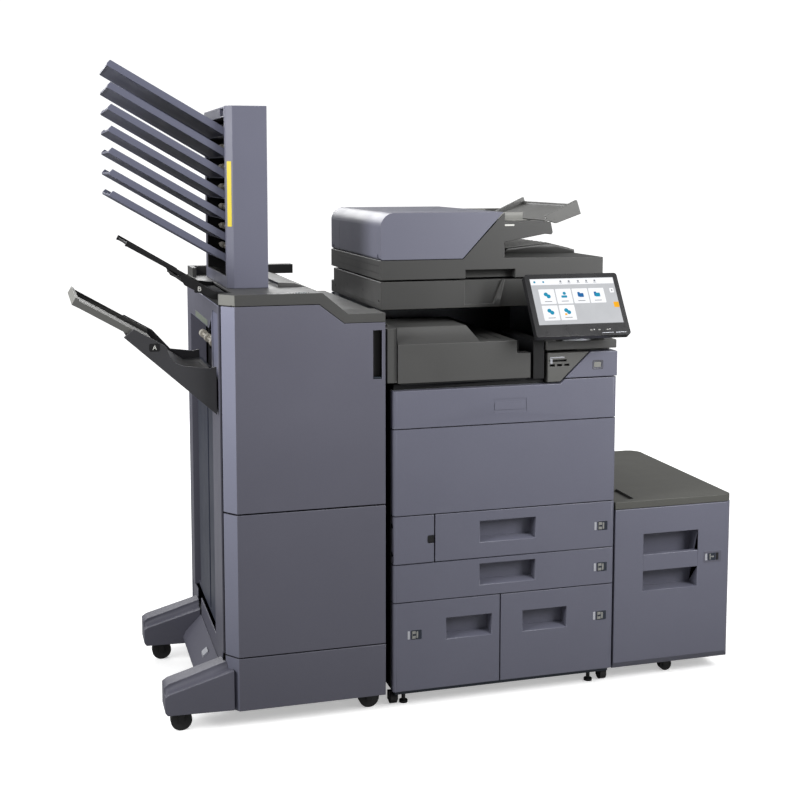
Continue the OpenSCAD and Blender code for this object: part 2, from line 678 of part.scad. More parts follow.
module dp_feed_tray() at_centre() color(dark_grey) difference() {
    union() {
        feed_frame() {
            block([15, feed_len], [164, 560], [6, 14]);
            // Raised near and far rims
            for (y = [164, 548]) along_y([y, y + 12], [[22, 9], [45, -7], [feed_len + 2, -6],
                [feed_len + 2, 33], [22, 22]]);
            block([feed_len - 4, feed_len], [170, 554], [8, 22]);
            for (y = [[174, 256], [444, 526]]) block([1, 16], y, [-1, 10]);
        }
        for (y = [[172, 258], [442, 528]]) bar_y(feed_hinge[0], y, feed_hinge[1], 7);
    }
    bar_y(feed_hinge[0], [140, 560], feed_hinge[1], 4 + fit);
}

module guide(y, out) {
    z = guide_z + 0.5;
    block([356, 428], [y, y + 3], [z, z + 22]);
    block([356, 428], [min(y, y + out), max(y + 3, y + out)], [z, z + 3]);
    block([386, 398], [min(y, y + out), max(y + 3, y + out)], [1204, z + 1]);
}

module front_guide() at_centre() color(cream) guide(230, -26);
module rear_guide() at_centre() color(cream) guide(527, 29);

// ---- Finisher ----------------------------------------------------------------------------

module finisher_frame() at_centre() color(steel) {
    back = fin_d - 10;
    difference() {
        union() {
            block([-396, fin_x1 - 3], [28, back], [fin_z + 2, fin_z + 10]);
            block([fin_x + 10, -395], [46, back], [fin_z + 2, fin_z + 10]);
        }
        for (y = [33.2, 563.2]) block([inner_wheel_x - 28, inner_wheel_x + 28], [y, y + 21.6],
            [fin_z, fin_z + 20]);
    }
    // Plates that the feet bolt to
    block([fin_x, fin_x + 11], [46, 72], [fin_z + 2, 140]);
    block([fin_x, fin_x + 11], [foot_y[1][0] + 6, foot_y[1][1] - 6], [fin_z + 2, 140]);
    block([fin_x1 - 6, fin_x1 - 3], [28, back], [fin_z + 8, low_top_z - 4]);
    block([-374, fin_x1 - 3], [back - 3, back], [fin_z + 8, low_top_z - 1]);
    block([-374, knee_x[0] - 8], [back - 3, back], [low_top_z - 2, fin_door_z]);
    // Inner left wall with the eject window
    difference() {
        block([fin_wall_x, fin_wall_x + 3], [28, back], [fin_z + 8, fin_door_z]);
        block([fin_wall_x - 1, fin_wall_x + 4], [opening_y[0], opening_y[1] - 30], [860, 985]);
    }
    block([fin_wall_x, fin_x1 - 4], [28, back], [fin_split_z - 6, fin_split_z - 3]);
    block([fin_wall_x, fin_x1 - 4], [60, back], [low_top_z - 20, low_top_z - 17]);
    // Knuckles that carry the upper door
    for (z = [[fin_split_z - 13, fin_split_z - 1.5], [fin_door_z - 0.5, fin_door_z + 10]]) difference() {
        union() {
            bar_z(fin_hinge[0], fin_hinge[1], z, 5);
            block([fin_hinge[0], fin_wall_x + 1], [fin_hinge[1] + 1, fin_hinge[1] + 5], z);
        }
        bar_z(fin_hinge[0], fin_hinge[1], [z[0] - 1, z[1] + 1], 3 + fit);
    }
    // Brackets from the lift rails to the inner wall
    for (y = tray_slide_y, z = [220, 520, 820])
        block([-387, fin_wall_x + 1], [y - 5.5, y + 5.5], [z, z + 10]);
    // Lift rails of the lower tray
    for (y = tray_slide_y) block([-392, -386], [y - 6, y + 6], [190, 842]);
}

module finisher_side_cover() at_centre() color(blue_grey) difference() {
    z = [kick_z + seam / 2, fin_door_z - 2];
    back = fin_d - 8.5;
    union() {
        block([fin_x, fin_x + 3.5], [bevel[1] + 6, opening_y[0]], z);
        block([fin_x, -374], [57.5, 120], z);
        block([fin_x, -376], [118, opening_y[0]], z);
        block([fin_x, -376], [opening_y[1], back], z);
        // Sunk wall between the posts, below the eject opening
        for (y = [[opening_y[0] - 1, tray_slide_y[0] - 11],
            [tray_slide_y[0] + 11, tray_slide_y[1] - 11], [tray_slide_y[1] + 11, opening_y[1] - 40]])
            block([-408, -396], y, [z[0], 838]);
        block([-408, -396], [opening_y[0] - 1, opening_y[1] + 1], [z[0], 186]);
        // Header above the opening
        block([fin_x, -376], [opening_y[0] - 1, opening_y[1] + 1], [958, z[1]]);
    }
    // Hollow posts
    block([fin_x + 4, -375], [60.5, 114], [z[0] + 4, z[1] - 4]);
    block([fin_x + 4, -375], [opening_y[1] + 5, back - 5], [z[0] + 4, z[1] - 4]);
    // Corner relief of the header
    along_x([fin_x - 1, -375], [[opening_y[0] - 2, 957], [opening_y[0] - 2, 990],
        [opening_y[0] + 50, 957]]);
    // Sunk rounded field on the front post
    block([fin_x - 1, fin_x + 1.5], [62, 150], [852, 1012]);
}

// The finisher's front outline in X and Y, as a band t thick that wraps the corner bevel
function wrap(t, b) = [[fin_x1 - 2, 0], [fin_x1 - 2, t], [fin_front_x + 0.56 * b, t],
    [bevel[0] + 0.805 * b, bevel[1] + 0.593 * b], bevel, [fin_front_x, 0]];

module wrap_band(t, b, z) translate([0, 0, z[0]]) linear_extrude(z[1] - z[0]) polygon(wrap(t, b));

module finisher_door() at_centre() color(blue_grey) difference() {
    z0 = fin_split_z + seam / 2;
    z1 = fin_door_z - seam / 2;
    union() {
        wrap_band(20, 12, [z0, z1]);
        bar_z(fin_hinge[0], fin_hinge[1], [z0 - 10, z1 + 10], 3);
    }
    // Top edge drops to the right in a straight ramp
    along_y([-1, 60], [[knee_x[0], z1 + 20], [knee_x[0], z1], [knee_x[1], low_top_z], [0, low_top_z],
        [0, z1 + 20]]);
    // Handle slot at the free edge
    block([-50, -28], [-1, 16], [846, 966]);
    block([-340, -80], [8, 21], [z0 + 30, 930]);
}

module finisher_lower_covers() at_centre() color(blue_grey) {
    wrap_band(6, 4, [kick_z + seam / 2, fin_split_z - seam / 2 - 0.5]);
    wrap_band(6, 4, [fin_z, kick_z - seam / 2]);
    // Left skirt between the feet
    block([fin_x + 2, fin_x + 6], [foot_y[0][1] + 2, foot_y[1][0] - 2], [fin_z, kick_z - seam / 2]);
    block([fin_x + 2, fin_x + 6], [foot_y[1][1] + 2, fin_d - 4], [fin_z, kick_z - seam / 2]);
    // Sloping base beam between the feet
    along_y([foot_y[0][1] + 2, foot_y[1][0] - 2], [[fin_x + 1, 60], [fin_x + 1, 128], [-462, 84],
        [-470, 66], [-462, 58]]);
    // Rear cover
    block([fin_x, fin_x1], [fin_d - 8, fin_d], [fin_z + 4, low_top_z - 1]);
    block([fin_x, knee_x[0] - 4], [fin_d - 8, fin_d], [low_top_z - 2, fin_door_z - 2]);
}

// Dark top cover: a fascia that follows the ramp, a deck and a raised rear rim
module finisher_top_cover() at_centre() color(dark_grey) difference() {
    z1 = fin_door_z + 27;
    union() {
        translate([0, 0, fin_door_z]) linear_extrude(z1 - fin_door_z)
            polygon([[knee_x[0] + 8, 0], [fin_front_x, 0], bevel, [fin_x, bevel[1] + 8],
                [fin_x, fin_d], [knee_x[0] + 8, fin_d]]);
        along_y([0, 110], [[knee_x[0], fin_door_z], [knee_x[1], low_top_z + 1],
            [fin_x1 - 2, low_top_z + 1], [fin_x1 - 2, 1008], [knee_x[1] + 10, 1008],
            [knee_x[0] + 8, z1], [knee_x[0] - 1, z1]]);
        block([knee_x[1] - 62, fin_x1 - 2], [109, fin_d], [low_top_z + 1, 1003]);
        along_y([109, fin_d], [[knee_x[0] + 7, 1003], [knee_x[0] + 7, z1], [knee_x[1] + 6, 1003]]);
        // Rear rim
        block([fin_x + 2, knee_x[1]], [fin_d - 40, fin_d], [z1 - 1, 1086]);
        block([fin_x + 2, fin_x + 14], [560, fin_d], [z1 - 1, 1086]);
        // Raised paper bridge
        along_y([180, 600], [[-250, z1 - 1], [knee_x[0] + 8, z1 - 1], [-206, z1 + 9], [-250, z1 + 12]]);
    }
    // Hollow underneath
    block([fin_x + 24, knee_x[0] - 8], [8, 54], [fin_door_z - 1, z1 - 6]);
    bar_z(fin_hinge[0], fin_hinge[1], [fin_door_z - 1, z1 - 6], 5.6);
    block([fin_hinge[0], fin_x + 25], [fin_hinge[1], 55], [fin_door_z - 1, z1 - 6]);
    block([fin_x + 8, knee_x[0] - 8], [54, fin_d - 8], [fin_door_z - 1, z1 - 6]);
    // Slot over the lower tray's eject path, for the upper tray
    block([fin_x - 1, -384], [tray_y[0] - 4, tray_y[1] + 6], [1045, z1 + 1]);
}

// ---- Finisher feet -----------------------------------------------------------------------

// The finisher's outline, which the feet butt against
module finisher_outline() linear_extrude(200) polygon([[fin_front_x, -1], [bevel[0], bevel[1]],
    [fin_x, bevel[1] + 6], [fin_x, fin_d], [0, fin_d], [0, -1]]);

module foot(y, tip_x) difference() {
    mid = y[0] + 34;
    root_x = fin_x + 20;
    intersection() {
        along_y(y, [[root_x, 46], [tip_x + 6, 50], [tip_x, 58], [tip_x, 112], [tip_x + 12, 120],
            [root_x, 164]]);
        union() {
            block([tip_x - 1, root_x + 1], [mid, y[1]], [40, 170]);
            along_y([y[0], mid + 1], [[root_x + 1, 40], [root_x + 1, 146], [tip_x + 10, 102],
                [tip_x - 1, 96], [tip_x - 1, 40]]);
            along_x([tip_x - 1, root_x + 1], [[mid - 8, 40], [mid - 8, 132], [mid, 170],
                [mid + 1, 170], [mid + 1, 40]]);
        }
    }
    finisher_outline();
    // Wheel well
    block([outer_wheel_x - 29, outer_wheel_x + 29], [mid - 13, mid + 17], [39, 56]);
}

module outrigger_feet() at_centre() color(blue_grey) for (i = [0, 1]) foot(foot_y[i], foot_tip_x[i]);

// ---- Output trays ------------------------------------------------------------------------

rise = tan(tray_rise);
// Height of the trays' upper rims at a given X
function rim_a(x) = 865 - (x - fin_x) * rise;
function rim_b(x) = 1066 - (x + 426) * rise;

module tray_a() at_centre() color(dark_grey) {
    x0 = -424;
    scoop_x = -500;
    scoop_r = 46;
    for (y = [tray_y[0], tray_y[1] - 9]) difference() {
        along_y([y, y + 9], [[x0, 766], [x0, 884], [-441, 880], [scoop_x, 888], [-546, rim_a(-546)],
            [tray_a_step, rim_a(tray_a_step)], [-641, 962]]);
        if (y == tray_y[0]) bar_y(scoop_x + 6, [y - 1, y + 10], 934, scoop_r);
    }
    // Floor with a keel under it
    along_y([tray_y[0] + 9, tray_y[1] - 9], [[x0, 850], [x0, 862], [-470, 862],
        [tray_a_step, rim_a(tray_a_step) - 22], [tray_a_step - 12, rim_a(tray_a_step) - 28],
        [-470, 850]]);
    along_y([tray_y[0] + 9, tray_y[1] - 9], [[x0, 770], [x0, 851], [x0 - 6, 851], [x0 - 6, 774]]);
    // Lift carriage that runs on the rails
    for (y = tray_slide_y) difference() {
        block([-430, -381], [y - 9.5, y + 9.5], [784, 834]);
        block([-392.3, -380], [y - 6.3, y + 6.3], [783, 835]);
    }
}

module tray_a_extension() at_centre() color(dark_grey) {
    tip = tray_a_tip;
    x0 = -560;
    for (y = [tray_y[0] + 9.5, tray_y[1] - 21]) along_y([y, y + 11.5], [[x0, rim_a(x0) - 15],
        [x0, rim_a(x0) - 3], [tip, rim_a(tip) - 3], [tip - 10, rim_a(tip - 10) - 21],
        [tip, rim_a(tip) - 21], [x0, rim_a(x0) - 20]]);
    along_y([tray_y[0] + 20, tray_y[1] - 20], [[x0, rim_a(x0) - 15], [x0, rim_a(x0) - 20],
        [tip, rim_a(tip) - 20], [tip, rim_a(tip) - 15]]);
    along_y([tray_y[0] + 9.5, tray_y[1] - 9.5], [[tip + 1, rim_a(tip + 1) - 21],
        [tip + 1, rim_a(tip + 1)], [tip - 6, rim_a(tip - 6) + 1], [tip - 16, rim_a(tip - 16) - 22]]);
}

module tray_b() at_centre() color(dark_grey) {
    x0 = -384;
    for (y = [tray_y[0], tray_y[1] - 8]) along_y([y, y + 8], [[x0, 1047], [x0, 1060], [-426, 1066],
        [tray_b_step, rim_b(tray_b_step)], [tray_b_step - 12, rim_b(tray_b_step) - 4],
        [tray_b_step, rim_b(tray_b_step) - 26], [-430, 1046]]);
    along_y([tray_y[0] + 8, tray_y[1] - 8], [[x0, 1047], [x0, 1053], [-424, 1053],
        [tray_b_step - 8, rim_b(tray_b_step) - 10], [tray_b_step - 8, rim_b(tray_b_step) - 17],
        [-428, 1046]]);
}

module tray_b_extension() at_centre() color(black) {
    tip = tray_b_tip;
    x0 = -480;
    along_y([tray_y[0] + 8.5, tray_y[1] - 8.5], [[x0, rim_b(x0) - 2], [x0, rim_b(x0) - 8],
        [tip, rim_b(tip) - 8], [tip, rim_b(tip) - 2]]);
    for (y = [tray_y[0] + 8.5, tray_y[1] - 17]) along_y([y, y + 8.5], [[x0, rim_b(x0) - 3],
        [x0, rim_b(x0) + 2], [tip, rim_b(tip) + 4], [tip - 6, rim_b(tip) - 8], [tip, rim_b(tip) - 10],
        [x0, rim_b(x0) - 8]]);
}

module eject_roller() at_centre() color(cream) {
    bar_y(-392, [opening_y[0] + 6, opening_y[1] - 34], 905, 4);
    for (y = [230, 330, 430, 530]) bar_y(-392, [y, y + 24], 905, 11);
}

// ---- Mailbox -----------------------------------------------------------------------------

module mailbox_tower() at_centre() color(blue_grey) difference() {
    bevel_t = 16;
    translate([0, 0, tower_base_z]) linear_extrude(tower_z - tower_base_z)
        polygon([[tower_x[0], tower_y[0] + bevel_t], [tower_x[0] + bevel_t, tower_y[0]],
            [tower_x[1], tower_y[0]], [tower_x[1], tower_y[1]], [tower_x[0], tower_y[1]]]);
    // Paper path, open to the left
    block([tower_x[0] - 1, tower_x[0] + 60], [bin_y[0] - 4, bin_y[1] + 4],
        [tower_base_z + 30, tower_z - 28]);
    block([tower_x[0] - 1, tower_x[0] + 8], [bin_y[0] + 2, bin_y[0] + 60], [tower_z - 24, tower_z - 6]);
}

// One bin: a sloping floor, two low rims and an end lip
module bin(z) {
    tip = bin_root_x - bin_run;
    slope = tan(tray_rise - 0.3);
    top = [[bin_root_x, z], [tip, z + bin_run * slope]];
    along_y([bin_y[0], bin_y[1]], [[top[0][0], top[0][1] - 12], [top[0][0], top[0][1] - 16],
        [tip, top[1][1] - 16], [tip, top[1][1] - 12]]);
    for (y = [bin_y[0], bin_y[1] - 5]) along_y([y, y + 5], [[top[0][0], z - 20], [top[0][0], z],
        [tip, top[1][1]], [tip - 8, top[1][1] - 8], [tip - 8, top[1][1] - 14]]);
    along_y([bin_y[0], bin_y[1]], [[tip + 1, top[1][1] - 16], [tip + 1, top[1][1] - 11],
        [tip - 8, top[1][1] - 8], [tip - 8, top[1][1] - 13]]);
    // Tongue that hooks into the tower
    block([bin_root_x - 2, tower_x[0] + 60], [bin_y[0] + 4, bin_y[1] - 4], [z - 17, z - 12]);
}

module mailbox_bins() at_centre() color(blue_grey)
    for (i = [0 : bin_count - 1]) bin(bin_low_z + i * bin_pitch);

module mailbox_rollers() at_centre() color(cream) for (i = [0 : bin_count - 1]) {
    z = bin_low_z + i * bin_pitch + 12;
    x = tower_x[0] + 34;
    bar_y(x, [bin_y[0] - 4, bin_y[1] + 4], z, 3);
    for (y = [240, 340, 440]) bar_y(x, [y, y + 50], z, 8);
}

// ---- Side feeder -------------------------------------------------------------------------

feeder_x0 = main_w + feeder_gap;
feeder_back_r = 40;

module feeder_outline(inset) {
    r = feeder_back_r;
    x1 = feeder_x - inset;
    y1 = feeder_d - inset;
    translate([feeder_x0 + inset, panel_t + 3]) square([x1 - feeder_x0 - inset, y1 - r - panel_t - 3]);
    translate([feeder_x0 + inset, panel_t + 3]) square([x1 - r - feeder_x0 - inset, y1 - panel_t - 3]);
    translate([x1 - r, y1 - r]) circle(r);
}

module feeder_body() at_centre() color(blue_grey) difference() {
    translate([0, 0, feeder_bottom]) linear_extrude(feeder_front_top - feeder_bottom) feeder_outline(0);
    block([feeder_x0 + 4, feeder_x - 6], [panel_t + 2, feeder_d - 50],
        [feeder_bottom + 6, feeder_front_top - 6]);
    for (y = [54, 520]) block([758, 808], [y - 14, y + 14], [feeder_bottom - 1, feeder_bottom + 2]);
    // Paper exit into the main unit
    block([feeder_x0 - 1, feeder_x0 + 5], [60, 420], [400, 440]);
}

module feeder_top() at_centre() color(dark_grey) difference() {
    union() {
        translate([0, 0, feeder_front_top]) linear_extrude(feeder_z - feeder_front_top) union() {
            feeder_outline(0);
            translate([feeder_x0, 2]) square([feeder_x - feeder_x0 - 14, panel_t + 4]);
            polygon([[feeder_x - 15, 2], [feeder_x, 16], [feeder_x, 30], [feeder_x - 15, 30]]);
        }
    }
    block([feeder_x0 + 10, 672], [30, 140], [feeder_z - 8, feeder_z + 1]);
}

feeder_grip_x = [687, 847];
feeder_grip_z = [245, 399];
feeder_bar_z = [298, 343];

module feeder_drawer() at_centre() color(blue_grey) difference() {
    z1 = feeder_front_top - 1;
    union() {
        difference() {
            translate([0, 0, feeder_bottom]) linear_extrude(z1 - feeder_bottom)
                polygon([[feeder_x0, 0], [feeder_x - 12, 0], [feeder_x, 14], [feeder_x, panel_t],
                    [feeder_x0, panel_t]]);
            along_x([feeder_x0 - 1, feeder_x + 1], [[-1, feeder_bottom - 1], [-1, feeder_bottom + 18],
                [0, feeder_bottom + 18], [12, feeder_bottom], [12, feeder_bottom - 1]]);
        }
        block([feeder_grip_x[0] - 3, feeder_grip_x[1] + 3], [panel_t - 1, 51],
            [feeder_grip_z[0] - 3, feeder_grip_z[1] + 3]);
        block([feeder_x0 + 12, feeder_x - 14], [50, 500], [feeder_bottom + 8, 380]);
    }
    difference() {
        block(feeder_grip_x, [-1, 46], feeder_grip_z);
        block([feeder_grip_x[0] - 1, feeder_grip_x[1] + 1], [1, 16], feeder_bar_z);
    }
    block([feeder_x0 + 15, feeder_x - 17], [53, 497], [feeder_bottom + 11, 381]);
}

// ---- Casters -----------------------------------------------------------------------------

main_wheel_r = 15;
main_wheel_x = [2, 582];
main_wheel_y = [45, 610];
feeder_wheel_r = 17;
feeder_wheel_x = 783;
feeder_wheel_y = [54, 520];

module wheel_x(x, y, r) difference() {
    bar_x([x, x + 18], y, r, r);
    bar_x([x - 1, x + 19], y, r, 4 + fit);
}

module wheel_y(x, y, w, r) difference() {
    bar_y(x, [y, y + w], r, r);
    bar_y(x, [y - 1, y + w + 1], r, 4 + fit);
}

// Forks, axles and levelling feet, all fixed under the three cabinets
module caster_brackets() at_centre() color(black) {
    for (x = main_wheel_x, y = main_wheel_y) {
        bar_x([x - 1.5, x + 19.5], y, main_wheel_r, 4);
        for (s = [x - 3.5, x + 18.5]) block([s, s + 3], [y - 8, y + 8], [9, pan_z - 2]);
        block([x - 3.5, x + 21.5], [y - 8, y + 8], [pan_z - 2.5, pan_z]);
    }
    for (x = [39, 552], y = [43, 600]) {
        bar_z(x, y, [0, 6], 11);
        bar_z(x, y, [5, pan_z], 5);
    }
    for (i = [0, 1]) {
        mid = foot_y[i][0] + 36;
        bar_y(outer_wheel_x, [mid - 14, mid + 14], wheel_r, 4);
        for (y = [mid - 14, mid + 11])
            block([outer_wheel_x - 7, outer_wheel_x + 7], [y, y + 3], [wheel_r - 6, 56]);
        bar_y(inner_wheel_x, [[30, 58], [560, 588]][i], wheel_r, 4);
        for (y = [[30, 55], [560, 585]][i])
            block([inner_wheel_x - 7, inner_wheel_x + 7], [y, y + 3], [wheel_r - 6, fin_z + 2]);
    }
    for (y = feeder_wheel_y) {
        bar_y(feeder_wheel_x, [y - 12, y + 12], feeder_wheel_r, 4);
        for (s = [y - 12.5, y + 9.5])
            block([feeder_wheel_x - 8, feeder_wheel_x + 8], [s, s + 3],
                [feeder_wheel_r - 6, feeder_bottom + 2]);
    }
}

module main_front_wheels() at_centre() color(black)
    for (x = main_wheel_x) wheel_x(x, main_wheel_y[0], main_wheel_r);
module main_rear_wheels() at_centre() color(black)
    for (x = main_wheel_x) wheel_x(x, main_wheel_y[1], main_wheel_r);
module finisher_outer_wheels() at_centre() color(dark_grey)
    for (i = [0, 1]) wheel_y(outer_wheel_x, foot_y[i][0] + 26, 20, wheel_r);
module finisher_inner_wheels() at_centre() color(dark_grey)
    for (y = [34, 564]) wheel_y(inner_wheel_x, y, 20, wheel_r);
module feeder_wheels() at_centre() color(black)
    for (y = feeder_wheel_y) wheel_y(feeder_wheel_x, y - 9, 18, feeder_wheel_r);

base_pan();
main_frame();
left_cover();
right_cover();
rear_cover();
front_door();
toner_cover();
small_door();
cassette_1();
cassette_2();
deck_left();
deck_right();
waste_toner_box();
toner_bottles();
imaging_units();
transfer_belt();
fuser();
feed_roller();
bridge_cover();
output_shelf();
power_column();
power_button();
media_slots();
panel_bracket();
touch_panel();
touch_screen();
panel_key();
scanner_housing();
platen_glass();
scanner_rods();
scan_carriage();
dp_hinges();
dp_base();
dp_cover();
dp_feed_tray();
front_guide();
rear_guide();
finisher_frame();
finisher_side_cover();
finisher_door();
finisher_lower_covers();
finisher_top_cover();
outrigger_feet();
tray_a();
tray_a_extension();
tray_b();
tray_b_extension();
eject_roller();
mailbox_tower();
mailbox_bins();
mailbox_rollers();
feeder_body();
feeder_top();
feeder_drawer();
caster_brackets();
main_front_wheels();
main_rear_wheels();
finisher_outer_wheels();
finisher_inner_wheels();
feeder_wheels();
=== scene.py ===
# Office photocopier with a finisher, a mailbox and a side feeder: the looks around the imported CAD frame.
import json
import math

import bmesh
import bpy
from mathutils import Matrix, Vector

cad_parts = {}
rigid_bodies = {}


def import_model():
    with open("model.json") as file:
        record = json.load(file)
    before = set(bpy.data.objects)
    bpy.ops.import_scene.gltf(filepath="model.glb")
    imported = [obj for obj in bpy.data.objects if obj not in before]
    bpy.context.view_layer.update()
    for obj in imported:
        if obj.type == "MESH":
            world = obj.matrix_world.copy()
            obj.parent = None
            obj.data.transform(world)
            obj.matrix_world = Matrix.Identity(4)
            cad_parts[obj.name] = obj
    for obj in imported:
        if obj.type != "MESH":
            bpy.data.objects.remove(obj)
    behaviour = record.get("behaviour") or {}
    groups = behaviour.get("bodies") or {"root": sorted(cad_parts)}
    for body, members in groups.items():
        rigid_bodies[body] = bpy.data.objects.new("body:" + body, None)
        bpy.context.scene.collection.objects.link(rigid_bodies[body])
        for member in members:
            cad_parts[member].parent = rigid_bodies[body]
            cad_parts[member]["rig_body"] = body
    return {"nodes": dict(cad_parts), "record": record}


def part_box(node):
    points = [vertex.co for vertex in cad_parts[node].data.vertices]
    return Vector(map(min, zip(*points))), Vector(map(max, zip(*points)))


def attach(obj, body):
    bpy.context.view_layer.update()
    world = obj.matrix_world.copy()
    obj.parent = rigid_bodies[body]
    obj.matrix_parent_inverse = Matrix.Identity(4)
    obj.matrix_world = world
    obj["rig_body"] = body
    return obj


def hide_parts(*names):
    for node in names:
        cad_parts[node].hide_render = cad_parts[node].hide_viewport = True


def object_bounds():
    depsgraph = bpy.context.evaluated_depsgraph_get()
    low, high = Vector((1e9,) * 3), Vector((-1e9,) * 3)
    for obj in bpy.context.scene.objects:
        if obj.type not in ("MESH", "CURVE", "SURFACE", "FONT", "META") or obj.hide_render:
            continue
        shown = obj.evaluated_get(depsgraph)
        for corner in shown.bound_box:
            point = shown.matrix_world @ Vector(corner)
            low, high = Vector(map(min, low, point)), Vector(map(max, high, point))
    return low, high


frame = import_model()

CAD_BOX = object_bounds()
BODY_OF = {n: o["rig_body"] for n, o in frame["nodes"].items()}
SLOT_OF = {s["node"]: s["material_slot"] for s in frame["record"]["subparts"]}

# The main unit's lower left front corner on the floor. The places below are in millimetres from it.
CORNER = Vector((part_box("cassette_2")[0].x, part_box("cassette_2")[0].y, 0))
X, Y, Z = Vector((1, 0, 0)), Vector((0, 1, 0)), Vector((0, 0, 1))


def at(x, y, z):
    return CORNER + Vector((x, y, z)) / 1000


def linear(code):
    """A colour written as in a paint chart (hex), as linear light."""
    parts = [int(code[i:i + 2], 16) / 255 for i in (0, 2, 4)]
    return [c / 12.92 if c <= 0.04045 else ((c + 0.055) / 1.055) ** 2.4 for c in parts]


# ---------------------------------------------------------------- materials
def new_material(name):
    m = bpy.data.materials.new(name)
    m.use_nodes = True
    nt = m.node_tree
    for n in list(nt.nodes):
        nt.nodes.remove(n)
    out = nt.nodes.new("ShaderNodeOutputMaterial")
    shader = nt.nodes.new("ShaderNodeBsdfPrincipled")
    nt.links.new(shader.outputs[0], out.inputs[0])
    return m, nt, shader


def noise(nt, place, scale, detail=2.0, rough=0.5):
    n = nt.nodes.new("ShaderNodeTexNoise")
    n.inputs["Scale"].default_value = scale
    n.inputs["Detail"].default_value = detail
    n.inputs["Roughness"].default_value = rough
    nt.links.new(place, n.inputs["Vector"])
    return n.outputs["Fac"]


def spread(nt, value, low, high):
    r = nt.nodes.new("ShaderNodeMapRange")
    r.inputs["From Min"].default_value = 0.25
    r.inputs["From Max"].default_value = 0.75
    r.inputs["To Min"].default_value = low
    r.inputs["To Max"].default_value = high
    nt.links.new(value, r.inputs["Value"])
    return r.outputs["Result"]


# Noise scales, as features to the metre
DRIFT, SPECK, WIPE, GRAIN = 2.4, 420.0, 7.0, 1400.0
GRAIN_DEPTH = 0.00012
UNSHADED_ABOVE_Z = 1.05   # height in metres from which a panel has its full tone, free of painted shade


def plastic(name, code, rough=0.5, vary=0.05, bump=0.12, metallic=0.0, coat=0.0, shade_at_floor=1.0):
    """Moulded plastic, rubber or sheet: a tone that drifts over the part, a fine moulded grain, and
    a gloss that varies where hands and cloths have been. The last argument is painted shade: the
    tone at the floor against the full tone, so that a panel darkens towards the floor."""
    m, nt, shader = new_material(name)
    place = nt.nodes.new("ShaderNodeTexCoord").outputs["Object"]
    drift = spread(nt, noise(nt, place, DRIFT, 3.0), 1 - vary, 1 + vary)
    speck = spread(nt, noise(nt, place, SPECK, 2.0), 1 - vary * 0.6, 1 + vary * 0.6)
    both = nt.nodes.new("ShaderNodeMath")
    both.operation = "MULTIPLY"
    nt.links.new(drift, both.inputs[0])
    nt.links.new(speck, both.inputs[1])
    tint = nt.nodes.new("ShaderNodeVectorMath")
    tint.operation = "SCALE"
    tint.inputs[0].default_value = linear(code)
    tone = both.outputs[0]
    # Painted shade: below the full-tone height the tone darkens towards the floor.
    if shade_at_floor != 1:
        height = nt.nodes.new("ShaderNodeSeparateXYZ")
        nt.links.new(place, height.inputs[0])
        painted_shade = nt.nodes.new("ShaderNodeMapRange")
        painted_shade.inputs["From Max"].default_value = UNSHADED_ABOVE_Z
        painted_shade.inputs["To Min"].default_value = shade_at_floor
        painted_shade.inputs["To Max"].default_value = 1.0
        nt.links.new(height.outputs["Z"], painted_shade.inputs["Value"])
        scaled = nt.nodes.new("ShaderNodeMath")
        scaled.operation = "MULTIPLY"
        nt.links.new(tone, scaled.inputs[0])
        nt.links.new(painted_shade.outputs["Result"], scaled.inputs[1])
        tone = scaled.outputs[0]
    nt.links.new(tone, tint.inputs["Scale"])
    nt.links.new(tint.outputs[0], shader.inputs["Base Color"])
    wiped = spread(nt, noise(nt, place, WIPE, 4.0, 0.6), max(rough - 0.07, 0.04), min(rough + 0.07, 1))
    nt.links.new(wiped, shader.inputs["Roughness"])
    shader.inputs["Metallic"].default_value = metallic
    shader.inputs["Coat Weight"].default_value = coat
    b = nt.nodes.new("ShaderNodeBump")
    b.inputs["Strength"].default_value = bump
    b.inputs["Distance"].default_value = GRAIN_DEPTH
    nt.links.new(noise(nt, place, GRAIN, 2.0, 0.65), b.inputs["Height"])
    nt.links.new(b.outputs[0], shader.inputs["Normal"])
    return m


def glowing(name, code, strength):
    """A lit patch of a display: its own colour, a little uneven, under a smooth cover."""
    m, nt, shader = new_material(name)
    place = nt.nodes.new("ShaderNodeTexCoord").outputs["Object"]
    level = spread(nt, noise(nt, place, 30.0, 2.0), strength * 0.96, strength * 1.04)
    shader.inputs["Base Color"].default_value = (*[c * 0.06 for c in linear(code)], 1)
    shader.inputs["Emission Color"].default_value = (*linear(code), 1)
    nt.links.new(level, shader.inputs["Emission Strength"])
    nt.links.new(spread(nt, noise(nt, place, 60.0), 0.14, 0.24), shader.inputs["Roughness"])
    b = nt.nodes.new("ShaderNodeBump")
    b.inputs["Strength"].default_value = 0.03
    b.inputs["Distance"].default_value = 0.0001
    nt.links.new(noise(nt, place, 300.0), b.inputs["Height"])
    nt.links.new(b.outputs[0], shader.inputs["Normal"])
    return m


# The panel, finisher and lighter lavender colours darken towards the floor: painted shade.
PANEL = plastic("panel_blue_grey", "6e6f7e", 0.4, shade_at_floor=0.66)
FINISHER = plastic("finisher_blue_grey", "656572", 0.44, shade_at_floor=0.62)
